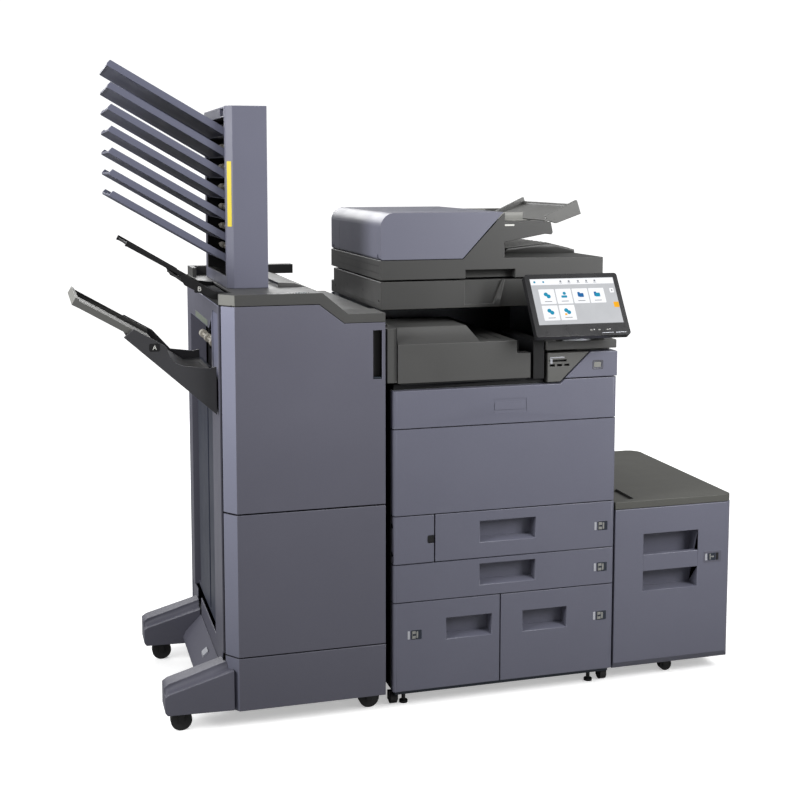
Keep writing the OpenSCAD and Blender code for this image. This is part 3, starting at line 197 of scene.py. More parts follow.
# A lighter copy of the finisher blue-grey for faces that catch the light: a painted highlight, with painted
# shade towards the floor as well.
PAINTED_LIGHT_LAVENDER = plastic("finisher_painted_light_lavender", "9092a6", 0.4, shade_at_floor=0.35)
POST = plastic("finisher_post_lavender", "777990", 0.42)
TOWER = plastic("mailbox_blue_grey", "6f7080", 0.42)
BINS = plastic("bin_blue_grey", "66687a", 0.42)
GREY = plastic("dark_grey_moulding", "4a4a49", 0.46)
DUSK = plastic("scanner_grey_moulding", "3f3f3e", 0.46)
MID = plastic("mid_grey_moulding", "5c5c5a", 0.46)
LIGHT = plastic("light_grey_moulding", "83837f", 0.48)
SLATE = plastic("tray_slate", "3a3a3d", 0.42)
BLACK = plastic("black_moulding", "111113", 0.42, vary=0.12)
SATIN = plastic("panel_black_gloss", "232325", 0.26, coat=0.25)
OLIVE = plastic("feeder_top_grey", "4d4d49", 0.6)
SKIRT = plastic("skirt_blue_black", "222a35", 0.45)
CREAM = plastic("pale_plastic", "d5d5d0", 0.42)
RUBBER = plastic("black_rubber", "1b1b1c", 0.7, vary=0.15)
PALE_RUBBER = plastic("roller_rubber", "b9b4aa", 0.65, vary=0.08)
STEEL = plastic("zinc_plated_steel", "a9acb2", 0.34, metallic=1.0, vary=0.08, bump=0.05)
SILVER = plastic("silver_tab", "c9cbd2", 0.32, metallic=0.6)
LEAF = plastic("olive_label", "7c8478", 0.5)
YELLOW = plastic("yellow_strip", "e6cf2e", 0.4)
GLASSY = plastic("dark_window", "121c2b", 0.12, coat=0.6, bump=0.02)
PETROL = plastic("inner_blue_grey", "2c3140", 0.45)


# ---------------------------------------------------------------- CAD pieces with softened edges
LEAST_TURN = math.radians(28)    # an edge that turns less than this stays as it is
SHARP_TURN = math.radians(42)    # an edge that turns more than this is shaded as a corner


def soften(node, material, width, segments=2, paint=()):
    """A copy of a CAD piece with its long outer edges rounded by width millimetres, standing for it.
    paint lists (material, test) pairs. A face takes the first material whose test says yes to its
    middle, in millimetres from CORNER, and its normal."""
    bm = bmesh.new()
    bm.from_mesh(frame["nodes"][node].data)
    w = width / 1000
    bmesh.ops.remove_doubles(bm, verts=bm.verts, dist=2e-6)
    bmesh.ops.dissolve_limit(bm, angle_limit=math.radians(0.5), verts=bm.verts, edges=bm.edges)
    chosen = []
    for e in bm.edges:
        if len(e.link_faces) != 2 or not e.is_convex or e.calc_length() < 5 * w:
            continue
        if e.calc_face_angle(0) < LEAST_TURN:
            continue
        if all(f.calc_area() / max(g.calc_length() for g in f.edges) > 2.6 * w for f in e.link_faces):
            chosen.append(e)
    if chosen:
        bmesh.ops.bevel(bm, geom=chosen, offset=w, offset_type="OFFSET", segments=segments,
                        profile=0.5, affect="EDGES", clamp_overlap=False)
    bmesh.ops.recalc_face_normals(bm, faces=bm.faces)
    for f in bm.faces:
        middle = (f.calc_center_median() - CORNER) * 1000
        f.material_index = next((k for k, (m, test) in enumerate(paint, 1) if test(middle, f.normal)), 0)
    materials = [material] + [m for m, test in paint]
    return placed(bm, node + "_moulding", materials, BODY_OF[node], SLOT_OF[node], node)


def placed(bm, name, materials, body, slot, *nodes):
    mesh = bpy.data.meshes.new(name)
    for f in bm.faces:
        f.smooth = True
    bm.to_mesh(mesh)
    bm.free()
    mesh.set_sharp_from_angle(angle=SHARP_TURN)
    piece = bpy.data.objects.new(name, mesh)
    bpy.context.scene.collection.objects.link(piece)
    for m in materials:
        mesh.materials.append(m)
    keep = piece.modifiers.new("flat_faces_stay_flat", "WEIGHTED_NORMAL")
    keep.keep_sharp = True
    keep.weight = 60
    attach(piece, body)
    if nodes:
        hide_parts(*nodes)
    return piece


# ---------------------------------------------------------------- small parts
def rounded(w, h, r, steps=5):
    """Outline of a rounded rectangle about its middle, in millimetres."""
    r = min(r, w / 2 - 0.01, h / 2 - 0.01)
    out = []
    for k, (sx, sy) in enumerate(((1, 1), (-1, 1), (-1, -1), (1, -1))):
        cx, cy = sx * (w / 2 - r), sy * (h / 2 - r)
        for i in range(steps + 1):
            a = math.pi / 2 * (k + i / steps)
            out.append((cx + r * math.cos(a), cy + r * math.sin(a)))
    return out


def ring(r, steps=24):
    turns = [2 * math.pi * i / steps for i in range(steps)]
    return [(r * math.cos(a), r * math.sin(a)) for a in turns]


def shrunk(outline, d):
    """The outline moved inwards by d, for a counter-clockwise outline."""
    out, n = [], len(outline)
    for i, p in enumerate(outline):
        a, b = Vector(outline[i - 1]), Vector(outline[(i + 1) % n])
        p = Vector(p)
        e1, e2 = (p - a), (b - p)
        e1 = e1.normalized() if e1.length > 1e-9 else e2.normalized()
        e2 = e2.normalized() if e2.length > 1e-9 else e1
        n1, n2 = Vector((-e1.y, e1.x)), Vector((-e2.y, e2.x))
        m = n1 + n2
        m = m.normalized() if m.length > 1e-6 else n1
        out.append(tuple(p + m * (d / max(m.dot(n1), 0.4))))
    return out


MAIN_BACK, MAIN_RIGHT = 665, 602           # outer faces of the main unit, in millimetres from CORNER
DECK_Z, LOW_DECK_Z = 1061, 1003            # the finisher's top, and its lower part
BRIDGE_TOP, COVER_TOP = 928, 1247          # tops of the bridge cover and of the document processor
SCANNER_FRONT = 113                        # front face of the scanner and the document processor


class Kit:
    """Small pieces that share a body, collected in one mesh with a material each."""

    def __init__(self, name, body, slot):
        self.name, self.body, self.slot = name, body, slot
        self.bm, self.materials = bmesh.new(), []

    def index(self, material):
        if material not in self.materials:
            self.materials.append(material)
        return self.materials.index(material)

    def solid(self, outline, origin, u, v, low, high, material, edge=0.3):
        """An outline in the plane (u, v) through origin, run from low to high along u x v, with its
        far rim rounded by edge."""
        n = u.cross(v).normalized()
        loops = [(0, low), (0, high - edge), (edge * 0.3, high - edge * 0.3), (edge, high)]
        if edge <= 0:
            loops = [(0, low), (0, high)]
        rings = []
        for inset, level in loops:
            points = shrunk(outline, inset) if inset else outline
            rings.append([self.bm.verts.new(origin + (u * a + v * b + n * level) / 1000) for a, b in points])
        k = self.index(material)
        faces = [self.bm.faces.new(list(reversed(rings[0])))]
        faces.append(self.bm.faces.new(rings[-1]))
        for a, b in zip(rings, rings[1:]):
            for i in range(len(a)):
                j = (i + 1) % len(a)
                faces.append(self.bm.faces.new((a[i], a[j], b[j], b[i])))
        for f in faces:
            f.material_index = k

    def box(self, x, y, z, material, edge=0.4):
        """A block with its front (-Y) rim rounded."""
        mid = at((x[0] + x[1]) / 2, y[1], (z[0] + z[1]) / 2)
        outline = rounded(x[1] - x[0], z[1] - z[0], edge + 0.2, 2)
        self.solid(outline, mid, X, Z, 0, y[1] - y[0], material, edge)

    def front(self, x, y, z, w, h, r, d, material, edge=0.3):
        """A rounded plate on a front face at y, standing out by d."""
        self.solid(rounded(w, h, r), at(x, y, z), X, Z, -0.4, d, material, edge)

    def left(self, x, y, z, w, h, r, d, material, edge=0.3):
        """A rounded plate on a left face at x, w along Y and h along Z, standing out by d."""
        self.solid(rounded(w, h, r), at(x, y, z), -Y, Z, -0.4, d, material, edge)

    def top(self, x, y, z, w, h, r, d, material, edge=0.3):
        """A rounded plate on a top face at z, w along X and h along Y."""
        self.solid(rounded(w, h, r), at(x, y, z), X, Y, -0.4, d, material, edge)

    def run(self, outline, y, material, edge=0.5):
        """An outline of (x, z) points, counter-clockwise seen from the front, run from y[1] to y[0]."""
        self.solid(outline, at(0, y[1], 0), X, Z, 0, y[1] - y[0], material, edge)

    def rod(self, a, b, r, material, edge=0.4):
        a, b = at(*a), at(*b)
        n = (b - a).normalized()
        u = n.orthogonal().normalized()
        self.solid(ring(r), a, u, n.cross(u), 0, (b - a).length * 1000, material, edge)

    def done(self):
        bmesh.ops.recalc_face_normals(self.bm, faces=self.bm.faces)
        return placed(self.bm, self.name, self.materials, self.body, self.slot)


# Faces turned this way, towards the front-left, take a lighter material in the test below: a painted
# highlight.
CORNER_WAY = Vector((-0.8, -0.6, 0)).normalized()


def takes_painted_highlight(middle, normal):
    return normal.dot(CORNER_WAY) > 0.93


def in_box(x, y, z):
    """A test for faces whose middle lies within a box."""
    limits = (x, y, z)
    return lambda middle, normal: all(low < m < high for m, (low, high) in zip(middle, limits))


# Mouldings that the CAD gives whole
for name in "right_cover rear_cover front_door toner_cover small_door cassette_1 cassette_2 " \
            "deck_left deck_right power_column feeder_body feeder_drawer".split():
    soften(name, PANEL, 1.6, 3)
# The main unit's left cover is black as painted shade for the narrow gap to the finisher.
soften("left_cover", BLACK, 1.6, 3)
soften("dp_cover", PANEL, 1.6, 3)
# The lighter lavender on the left faces above 957 mm is a painted highlight.
soften("finisher_side_cover", FINISHER, 1.5, 3, paint=[
    (PETROL, in_box((-419.5, -370), (60, 170), (190, 1028))),
    (PAINTED_LIGHT_LAVENDER, lambda middle, normal: normal.x < -0.7 and middle.z > 957),
    (POST, lambda middle, normal: normal.x < -0.7 and middle.y < 177 and middle.z > 800),
    (PETROL, lambda middle, normal: middle.x > -418 and 176 < middle.y < 560),
])
# The lighter lavender on faces turned to the front-left corner is a painted highlight, here and on the lower
# covers.
soften("finisher_door", FINISHER, 1.5, 3, paint=[
    (BLACK, in_box((-50.5, -27.5), (0.5, 30), (845, 967))), (PAINTED_LIGHT_LAVENDER, takes_painted_highlight)])
soften("finisher_lower_covers", FINISHER, 1.5, 3, paint=[(PAINTED_LIGHT_LAVENDER, takes_painted_highlight)])
soften("outrigger_feet", FINISHER, 1.5, 3)
soften("mailbox_tower", TOWER, 2.0, 3, paint=[(BLACK, in_box((-377.5, -310), (195, 540), (1085, 1490)))])
soften("mailbox_bins", BINS, 1.0)
for name in "bridge_cover panel_bracket".split():
    soften(name, GREY, 1.6, 3)
for name in "scanner_housing dp_base".split():
    soften(name, DUSK, 1.6, 3)
soften("media_slots", MID, 1.0)
# Faces turned to the front-left corner take the light grey: a painted highlight.
soften("finisher_top_cover", GREY, 1.0, 2, paint=[
    (LIGHT, takes_painted_highlight),
    (LIGHT, lambda middle, normal: normal.z > 0.8 and middle.z > 1062.5 and middle.x > -252),
    (BLACK, lambda middle, normal: middle.x < -383 and 50 < middle.y < 400 and middle.z > 1040)])
soften("dp_feed_tray", MID, 1.0)
soften("tray_a", SLATE, 1.2)
# The top and left faces take the light grey, the other faces mid grey: a painted highlight on the faces that
# catch the light.
soften("tray_a_extension", MID, 0.4, 1, paint=[
    (LIGHT, lambda middle, normal: normal.z > 0.6 or normal.x < -0.8)])
soften("tray_b", BLACK, 1.0)
soften("tray_b_extension", BLACK, 1.0)
soften("feeder_top", OLIVE, 1.5, 3)
soften("touch_panel", SATIN, 2.2, 3)
soften("panel_key", SATIN, 0.5)
soften("output_shelf", BLACK, 1.0)
soften("base_pan", SKIRT, 1.0)
soften("caster_brackets", BLACK, 0.8)
soften("power_button", LIGHT, 0.7)
for name in "front_guide rear_guide".split():
    soften(name, LIGHT, 0.8)

# CAD pieces that stay, with a finish of their own. The finisher frame's black is painted shade for the gap
# to the main unit.
KEPT = {
    "main_frame": STEEL, "finisher_frame": BLACK, "dp_hinges": STEEL, "scanner_rods": STEEL, "fuser": STEEL,
    "waste_toner_box": CREAM, "toner_bottles": SATIN, "imaging_units": BLACK, "transfer_belt": BLACK,
    "scan_carriage": BLACK, "platen_glass": GLASSY, "feed_roller": PALE_RUBBER, "eject_roller": PALE_RUBBER,
    "mailbox_rollers": PALE_RUBBER, "main_front_wheels": RUBBER, "main_rear_wheels": RUBBER,
    "finisher_outer_wheels": RUBBER, "finisher_inner_wheels": RUBBER, "feeder_wheels": RUBBER,
}
for name, material in KEPT.items():
    mesh = frame["nodes"][name].data
    mesh.materials.clear()
    mesh.materials.append(material)

# The lift rails of the finisher's frame are bright
mesh = frame["nodes"]["finisher_frame"].data
mesh.materials.append(STEEL)
for f in mesh.polygons:
    middle = (f.center - CORNER) * 1000
    if -393 < middle.x < -385 and 195 < middle.y < 365 and middle.z > 185:
        f.material_index = 1

# ---------------------------------------------------------------- touch panel
LEAN = math.radians(32.5)
PANEL_UP = Vector((0, math.sin(LEAN), math.cos(LEAN)))
PANEL_LOW = at(0, -75, 943)
SCREEN_X, SCREEN_U = (361, 590), (34, 163)
SCREEN_W, SCREEN_H = SCREEN_X[1] - SCREEN_X[0], SCREEN_U[1] - SCREEN_U[0]


def on_panel(x, u):
    return PANEL_LOW + X * (x / 1000) + PANEL_UP * (u / 1000)


def on_screen(a, b):
    """A point of the screen: a from the left and b from the top, from 0 to 1."""
    return on_panel(SCREEN_X[0] + a * SCREEN_W, SCREEN_U[1] - b * SCREEN_H)


FIELD = glowing("screen_field", "d8dade", 0.72)
WHITE = glowing("screen_white", "f6f7fa", 0.97)
EDGE_GREY = glowing("screen_grey", "a9acb4", 0.6)
TEAL = glowing("screen_teal", "1093b8", 0.9)
BLUE = glowing("screen_blue", "1468a8", 0.9)
ORANGE = glowing("screen_orange", "f5ae10", 0.95)
LED = glowing("led_white", "ffffff", 1.4)
mesh = frame["nodes"]["touch_screen"].data
mesh.materials.clear()
mesh.materials.append(FIELD)

ui = Kit("screen_picture", "touch_panel", SLOT_OF["touch_screen"])


def tile(a0, a1, b0, b1, r, level, material):
    """A patch of the picture between two fractions of the screen's width and height."""
    mid = on_screen((a0 + a1) / 2, (b0 + b1) / 2)
    outline = rounded((a1 - a0) * SCREEN_W, (b1 - b0) * SCREEN_H, r)
    ui.solid(outline, mid, X, PANEL_UP, level - 0.3, level, material, 0)


tile(0.004, 0.996, 0.008, 0.135, 0.5, 0.05, WHITE)
for k, a in enumerate((0.05, 0.155)):
    ui.solid(ring(3.0 - 0.4 * k, 14), on_screen(a, 0.07), X, PANEL_UP, 0, 0.1, TEAL, 0)
for a in (0.36, 0.46, 0.57, 0.67, 0.77):
    tile(a - 0.011, a + 0.011, 0.045, 0.085, 1.0, 0.1, EDGE_GREY)
    tile(a - 0.018, a + 0.018, 0.098, 0.108, 0.3, 0.1, EDGE_GREY)
for row, b in enumerate((0.23, 0.585)):
    for col in range(4 if row == 0 else 2):
        a = 0.075 + 0.198 * col
        tile(a, a + 0.185, b, b + 0.325, 2.0, 0.08, WHITE)
        tile(a + 0.05, a + 0.135, b + 0.262, b + 0.277, 0.3, 0.12, EDGE_GREY)
        mid_a, mid_b = a + 0.0925, b + 0.135
        if (row, col) in ((0, 0), (1, 0), (1, 1)):
            for da, db in ((-0.014, -0.022), (0.014, 0.022)):
                ui.solid(ring(5.6, 16), on_screen(mid_a + da, mid_b + db), X, PANEL_UP, 0, 0.14, TEAL, 0)
        elif col == 1:
            ui.solid(ring(4.4, 16), on_screen(mid_a + 0.008, mid_b - 0.035), X, PANEL_UP, 0, 0.14, TEAL, 0)
            tile(mid_a - 0.034, mid_a + 0.034, mid_b + 0.01, mid_b + 0.06, 1.5, 0.14, TEAL)
        else:
            folder = BLUE if col == 2 else TEAL
            tile(mid_a - 0.034, mid_a - 0.004, mid_b - 0.055, mid_b + 0.045, 1.2, 0.14, BLUE)
            tile(mid_a - 0.02, mid_a + 0.036, mid_b - 0.03, mid_b + 0.055, 1.2, 0.15, folder)
        if (row, col) == (1, 1):
            tile(mid_a - 0.038, mid_a - 0.012, mid_b + 0.045, mid_b + 0.085, 0.6, 0.18, ORANGE)
tile(0.925, 0.975, 0.24, 0.34, 1.5, 0.08, WHITE)
tile(0.945, 0.958, 0.27, 0.31, 0.6, 0.12, EDGE_GREY)
tile(0.935, 0.998, 0.545, 0.665, 1.2, 0.1, ORANGE)
ui.done()

trim = Kit("panel_trim", "touch_panel", SLOT_OF["touch_panel"])
trim.solid(ring(2.1, 16), on_panel(380, 15), X, PANEL_UP, 0, 0.25, LED, 0.1)
for x, w in ((497, 7), (519, 6), (541, 5)):
    trim.solid(rounded(w, 3.4, 1.2), on_panel(x, 16), X, PANEL_UP, -0.3, 0.25, LIGHT, 0.1)
for x, w in ((505, 2), (548, 3)):
    trim.solid(ring(1.1, 10), on_panel(x, 17), X, PANEL_UP, -0.3, 0.4, LED, 0.1)
for x, w in ((541, 30), (577, 28)):
    trim.solid(rounded(w, 1.3, 0.5), on_panel(x, 7.5), X, PANEL_UP, -0.3, 0.3, SILVER, 0.1)
# A thin seam round the glass
for x, u, w, h in ((475.5, 31.6, 233, 0.9), (475.5, 165.4, 233, 0.9),
                   (358.6, 98.5, 0.9, 134.7), (592.4, 98.5, 0.9, 134.7)):
    trim.solid(rounded(w, h, 0.3, 2), on_panel(x, u), X, PANEL_UP, -0.3, 0.15, BLACK, 0)
trim.done()


# ---------------------------------------------------------------- drawers
def gauge(kit, x, z, y=0.0):
    """Paper gauge: a silver tab beside a dark window with grey marks."""
    kit.front(x - 15.5, y, z, 6, 21, 1.5, 1.0, SILVER, 0.5)
    kit.front(x + 4.5, y, z, 28, 24, 2.0, 0.5, GLASSY, 0.3)
    kit.front(x - 1.5, y, z + 6, 9, 7, 1.0, 0.9, LIGHT, 0.2)
    kit.front(x - 1.5, y, z - 6, 9, 7, 1.0, 0.9, LIGHT, 0.2)
    kit.front(x + 7, y, z, 4.5, 17, 1.0, 0.8, LIGHT, 0.2)
    kit.front(x - 6, y, z, 2.6, 20, 0.8, 0.8, MID, 0.2)


for node, x, z in (("cassette_1", 563, 432), ("cassette_2", 563, 322),
                   ("deck_left", 56, 190), ("deck_right", 563, 191)):
    kit = Kit(node + "_gauge", BODY_OF[node], "steel")
    gauge(kit, x, z)
    kit.done()

kit = Kit("feeder_gauge", "feeder_drawer", "steel")
kit.front(891, 0, 322, 55, 33, 2.5, 0.5, PANEL, 0.3)
kit.front(891, -0.5, 322, 52, 30, 2.0, 0.4, FINISHER, 0.2)
kit.front(872, -0.8, 322, 6, 18, 1.5, 0.9, SILVER, 0.4)
kit.front(889, -0.8, 322, 22, 20, 1.5, 0.4, GLASSY, 0.2)
kit.front(884, -1.0, 322, 3, 16, 1.0, 0.6, LIGHT, 0.2)
kit.front(891, -1.0, 322, 8, 4, 1.0, 0.6, LIGHT, 0.2)
kit.front(905, -0.8, 322, 8, 20, 1.5, 0.6, BLACK, 0.2)
kit.done()

kit = Kit("small_door_latch", "small_door", "black_plastic")
kit.front(98, 0, 434, 16, 19, 3, 0.6, BLACK, 0.3)
kit.front(94, -0.5, 434, 8, 13, 2, 1.2, BLACK, 0.5)
kit.done()

plate = Kit("name_plate_blank", "toner_cover", "body_panel")
plate.front(308, 0, 763, 84, 20, 3, 0.35, PANEL, 0.2)
plate.done()

power = Kit("power_surround", "machine", "body_panel")
for dx, dz, w, h in ((0, 11, 24, 1.6), (0, -11, 24, 1.6), (-14, 0, 1.6, 20), (14, 0, 1.6, 20)):
    power.front(547 + dx, 0, 857 + dz, w, h, 0.7, 0.3, DUSK, 0.15)
for dx, dz in ((-13, -10), (13, -10), (-13, 10), (13, 10)):
    power.front(547 + dx, 0, 857 + dz, 2.6, 2.6, 1.2, 0.3, DUSK, 0.15)
power.done()

# ---------------------------------------------------------------- finisher
def on_body(name, node):
    return Kit(name, BODY_OF[node], SLOT_OF[node])


deck = on_body("finisher_key_strip", "finisher_top_cover")
deck.top(-268, 15, DECK_Z, 124, 18, 3, 0.35, SATIN, 0.15)
for x in (-312, -297, -282):
    deck.top(x, 13, DECK_Z + 0.2, 8, 4, 1.2, 0.5, MID, 0.1)
deck.top(-262, 13, DECK_Z + 0.2, 7, 5, 1.2, 0.5, LIGHT, 0.1)
deck.top(-225, 13, DECK_Z + 0.2, 26, 7, 1.2, 0.4, glowing("key_strip_teal", "2f6f78", 0.35), 0.1)
deck.top(-150, 190, LOW_DECK_Z, 44, 120, 3, 0.6, MID, 0.3)
# Cap over the corner facet of the top cover
FACET_WAY = Vector((0.593, -0.805, 0)).normalized()
deck.solid(rounded(45, 24, 1.5), at(-402, 19, 1048), FACET_WAY, Z, -0.3, 0.5, LIGHT, 0.4)
deck.done()

side = on_body("finisher_side_details", "finisher_side_cover")
side.left(-420, 362, 969, 238, 15, 1.5, 0.5, LEAF, 0.2)
# The inner plate takes the lighter lavender: a painted highlight.
side.left(-418.5, 106, 932, 84, 156, 9, 0.7, POST, 0.5)
side.left(-418.0, 106, 932, 74, 146, 7, 0.6, PAINTED_LIGHT_LAVENDER, 0.4)
side.done()

paddles = Kit("eject_paddles", "machine", "pale_plastic")
for y, z in ((307, 914), (278, 896), (420, 914)):
    blade = [(-389, z - 12), (-372, z - 6), (-372, z + 12), (-378, z + 12), (-389, z - 5)]
    paddles.run(blade, (y, y + 12), CREAM, 0.8)
paddles.rod((-380, 250, 925), (-380, 460, 925), 3.5, PETROL)
paddles.done()

latch = on_body("base_beam_latch", "finisher_lower_covers")
latch.run([(-447, 98), (-434, 105), (-434, 117), (-447, 106)], (226, 258), SILVER, 0.8)
latch.done()

ledge = on_body("door_grip_ledge", "finisher_door")
ledge.box((-49.5, -28.5), (1.0, 14), (846.5, 850.5), SKIRT, 0.8)
ledge.done()


def letter_plate(kit, x, y, z, strokes):
    """A rounded black plate with a letter of straight strokes, each ((x, z), (x, z))."""
    kit.front(x, y, z, 25, 19, 4, 0.7, BLACK, 0.3)
    for (x0, z0), (x1, z1) in strokes:
        along = Vector((x1 - x0, 0, z1 - z0))
        size = along.length
        along.normalize()
        up = Vector((-along.z, 0, along.x))
        mid = at(x + (x0 + x1) / 2, y - 0.5, z + (z0 + z1) / 2)
        kit.solid(rounded(size + 1.2, 1.5, 0.5, 2), mid, along, up, 0, 0.5, CREAM, 0.1)


LETTER_A = [((-4, -5), (0, 5)), ((0, 5), (4, -5)), ((-2, -1.5), (2, -1.5))]
LETTER_B = [((-3, -5), (-3, 5)), ((-3, 5), (2, 4)), ((2, 4), (2, 1)), ((2, 0.5), (-3, 0)),
            ((3, 0), (3, -4)), ((3, -4.5), (-3, -5))]
for name, x, z, letter in (("tray_a", -570, 936, LETTER_A), ("tray_b", -462, 1073, LETTER_B)):
    tray = on_body(name + "_label", name)
    letter_plate(tray, x, 60, z, letter)
    tray.done()

tower = on_body("tower_strip", "mailbox_tower")
TOWER_WAY = Vector((1, -1, 0)).normalized()
tower.solid(rounded(13, 161, 1.5), at(-370, 176, 1295.5), TOWER_WAY, Z, -0.4, 0.5, YELLOW, 0.2)
tower.done()

# ---------------------------------------------------------------- bridge, scanner and document processor
seams = on_body("bridge_seams", "bridge_cover")
for x, z, w, h in ((9, 904, 2.2, 132), (327, 912, 1.6, 34), (346, 895.5, 34, 1.6), (361.5, 864, 1.6, 62)):
    seams.front(x, 0, z, w, h, 0.4, 0.15, BLACK, 0)
for x in range(60, 320, 34):
    seams.top(x, 110, BRIDGE_TOP, 3, 120, 1, 0.5, BLACK, 0.1)
seams.done()

marks = on_body("scanner_screws", "scanner_housing")
for y in (470, 295):
    marks.solid(ring(4.2, 16), at(0, y, 1039), -Y, Z, -0.3, 0.3, BLACK, 0.1)
marks.left(0, 388, 1015, 440, 1.4, 0.4, 0.15, BLACK, 0)
marks.front(560, SCANNER_FRONT, 1004, 84, 2, 0.5, 0.2, BLACK, 0.1)
marks.done()

grooves = on_body("processor_grooves", "dp_base")
for z in (1112, 1094):
    grooves.left(0, 354, z, 440, 1.8, 0.5, 0.15, BLACK, 0)
grooves.front(345, SCANNER_FRONT, 1213, 26, 4.6, 1.2, 0.5, CREAM, 0.2)
for y in range(320, 630, 34):
    grooves.run([(396, 1127), (606, 1133), (604, 1138), (532, 1155.5), (413, 1143.5)], (y, y + 4), MID, 0.4)
grooves.run([(330, 1219), (440, 1219), (585, 1232), (585, 1240), (330, 1240)], (646, 664), MID, 1.0)
grooves.done()

lid = on_body("processor_cover_details", "dp_cover")
lid.left(0, 559, 1168, 1.3, 78, 0.4, 0.12, BLACK, 0)
for y in (250, 470):
    lid.top(262, y, COVER_TOP, 26, 5, 2, 0.2, BLACK, 0.1)
lid.done()

media = on_body("media_marks", "media_slots")
media.front(436, 4, 879, 40, 3, 1, 0.5, SILVER, 0.2)
media.front(420, 4, 869, 6, 12, 1, 0.5, SILVER, 0.2)
media.done()

# ---------------------------------------------------------------- backs and sides
def screws(name, node, places):
    kit = on_body(name, node)
    for x, y, z, u, v in places:
        kit.solid(ring(4.4, 16), at(x, y, z), u, v, -0.3, 0.5, STEEL, 0.2)
        kit.solid(rounded(5, 1.1, 0.3, 2), at(x, y, z), u, v, 0.4, 0.62, BLACK, 0)
        kit.solid(rounded(1.1, 5, 0.3, 2), at(x, y, z), u, v, 0.4, 0.62, BLACK, 0)
    kit.done()


screws("rear_screws", "rear_cover",
       [(x, MAIN_BACK, z, -X, Z) for x in (14, 588) for z in (80, 380, 700, 960)])
screws("right_cover_screws", "right_cover",
       [(MAIN_RIGHT, y, z, Y, Z) for y in (60, 640) for z in (560, 780)])

inlet = on_body("power_inlet", "rear_cover")
inlet.solid(rounded(44, 30, 3), at(500, 658, 130), -X, Z, 0, 5, BLACK, 0.6)
inlet.solid(rounded(30, 18, 4), at(500, 662.6, 130), -X, Z, 0, 0.6, SATIN, 0.1)
for dx, dz in ((-7, 2), (7, 2), (0, -4)):
    inlet.solid(rounded(2, 5, 0.5, 2), at(500 + dx, 663, 130 + dz), -X, Z, 0, 1.4, STEEL, 0.2)
inlet.done()

# ---------------------------------------------------------------- floor, light and camera
def seen(nt, straight, bounced):
    """One number for what the camera looks straight at, another for light that bounces off it."""
    path = nt.nodes.new("ShaderNodeLightPath")
    r = nt.nodes.new("ShaderNodeMapRange")
    r.inputs["To Min"].default_value = bounced
    r.inputs["To Max"].default_value = straight
    nt.links.new(path.outputs["Is Camera Ray"], r.inputs["Value"])
    return r.outputs["Result"]


FLOOR_REACH = 40   # metres from the middle to the floor's edge


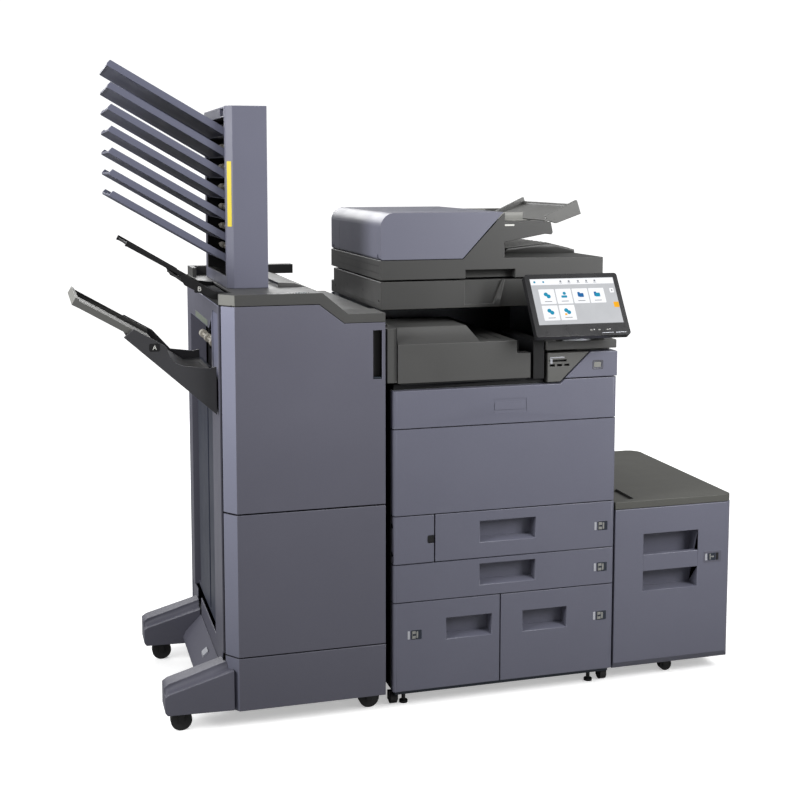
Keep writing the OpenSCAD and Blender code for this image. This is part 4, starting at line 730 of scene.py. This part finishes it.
def stage_floor():
    bm = bmesh.new()
    bmesh.ops.create_grid(bm, x_segments=1, y_segments=1, size=FLOOR_REACH)
    mesh = bpy.data.meshes.new("floor")
    bm.to_mesh(mesh)
    bm.free()
    floor = bpy.data.objects.new("floor", mesh)
    bpy.context.scene.collection.objects.link(floor)
    floor.location.z = CAD_BOX[0].z - 0.0005
    white = plastic("floor_white", "f4f4f4", 0.7, vary=0.004, bump=0.02)
    nt = white.node_tree
    shader = next(n for n in nt.nodes if n.type == "BSDF_PRINCIPLED")
    shader.inputs["Emission Color"].default_value = (1, 1, 1, 1)
    # A pale sweep: the floor brightens with the distance from the object until it meets the background
    away = nt.nodes.new("ShaderNodeVectorMath")
    away.operation = "LENGTH"
    nt.links.new(nt.nodes.new("ShaderNodeTexCoord").outputs["Object"], away.inputs[0])
    sweep = nt.nodes.new("ShaderNodeMapRange")
    near, far, near_glow, far_glow = 1.2, 3.2, 0.42, 0.85
    for name, value in (("From Min", near), ("From Max", far), ("To Min", near_glow), ("To Max", far_glow)):
        sweep.inputs[name].default_value = value
    nt.links.new(away.outputs["Value"], sweep.inputs["Value"])
    glow = nt.nodes.new("ShaderNodeMath")
    glow.operation = "MULTIPLY"
    nt.links.new(sweep.outputs["Result"], glow.inputs[0])
    nt.links.new(seen(nt, 1, 0), glow.inputs[1])
    nt.links.new(glow.outputs[0], shader.inputs["Emission Strength"])
    tint = shader.inputs["Base Color"].links[0].from_node
    dim = nt.nodes.new("ShaderNodeVectorMath")
    dim.operation = "SCALE"
    nt.links.new(tint.outputs[0], dim.inputs[0])
    nt.links.new(seen(nt, 1, 0.3), dim.inputs["Scale"])
    nt.links.new(dim.outputs[0], shader.inputs["Base Color"])
    mesh.materials.append(white)


def lamp(name, place, aim, size, power, colour=(1, 1, 1)):
    data = bpy.data.lights.new(name, "AREA")
    data.shape = "RECTANGLE"
    data.size, data.size_y = size
    data.energy = power
    data.color = colour
    o = bpy.data.objects.new(name, data)
    bpy.context.scene.collection.objects.link(o)
    o.location = place
    o.rotation_mode = "QUATERNION"
    o.rotation_quaternion = (Vector(aim) - Vector(place)).to_track_quat("-Z", "Y")


stage_floor()
lamp("key", (1.55, -1.75, 1.75), (0.25, -0.1, 0.8), (0.9, 1.2), 50)
lamp("side", (-3.0, -1.0, 2.3), (-0.2, 0, 0.95), (1.3, 1.8), 96)
lamp("top", (0.2, 0.3, 3.6), (0.1, 0.1, 0.6), (2.5, 2.0), 18)
lamp("back", (-0.6, 3.2, 2.6), (0, 0.1, 0.8), (2.4, 1.8), 60)

world = bpy.data.worlds.new("studio")
world.use_nodes = True
sky = world.node_tree.nodes["Background"]
sky.inputs["Color"].default_value = (1, 1, 1, 1)
world.node_tree.links.new(seen(world.node_tree, 1.1, 0.36), sky.inputs["Strength"])
bpy.context.scene.world = world
bpy.context.scene.view_settings.view_transform = "Standard"

camera_data = bpy.data.cameras.new("camera")
camera = bpy.data.objects.new("camera", camera_data)
bpy.context.scene.collection.objects.link(camera)
bpy.context.scene.camera = camera
camera_data.sensor_width = 36
camera_data.lens = 57.85
camera_data.shift_y = -0.12
camera.location = (-0.9441, -3.2978, 1.3524)
look_down, look_right = math.radians(5.914), math.radians(16.109)
camera.rotation_euler = (math.pi / 2 - look_down, 0, -look_right)
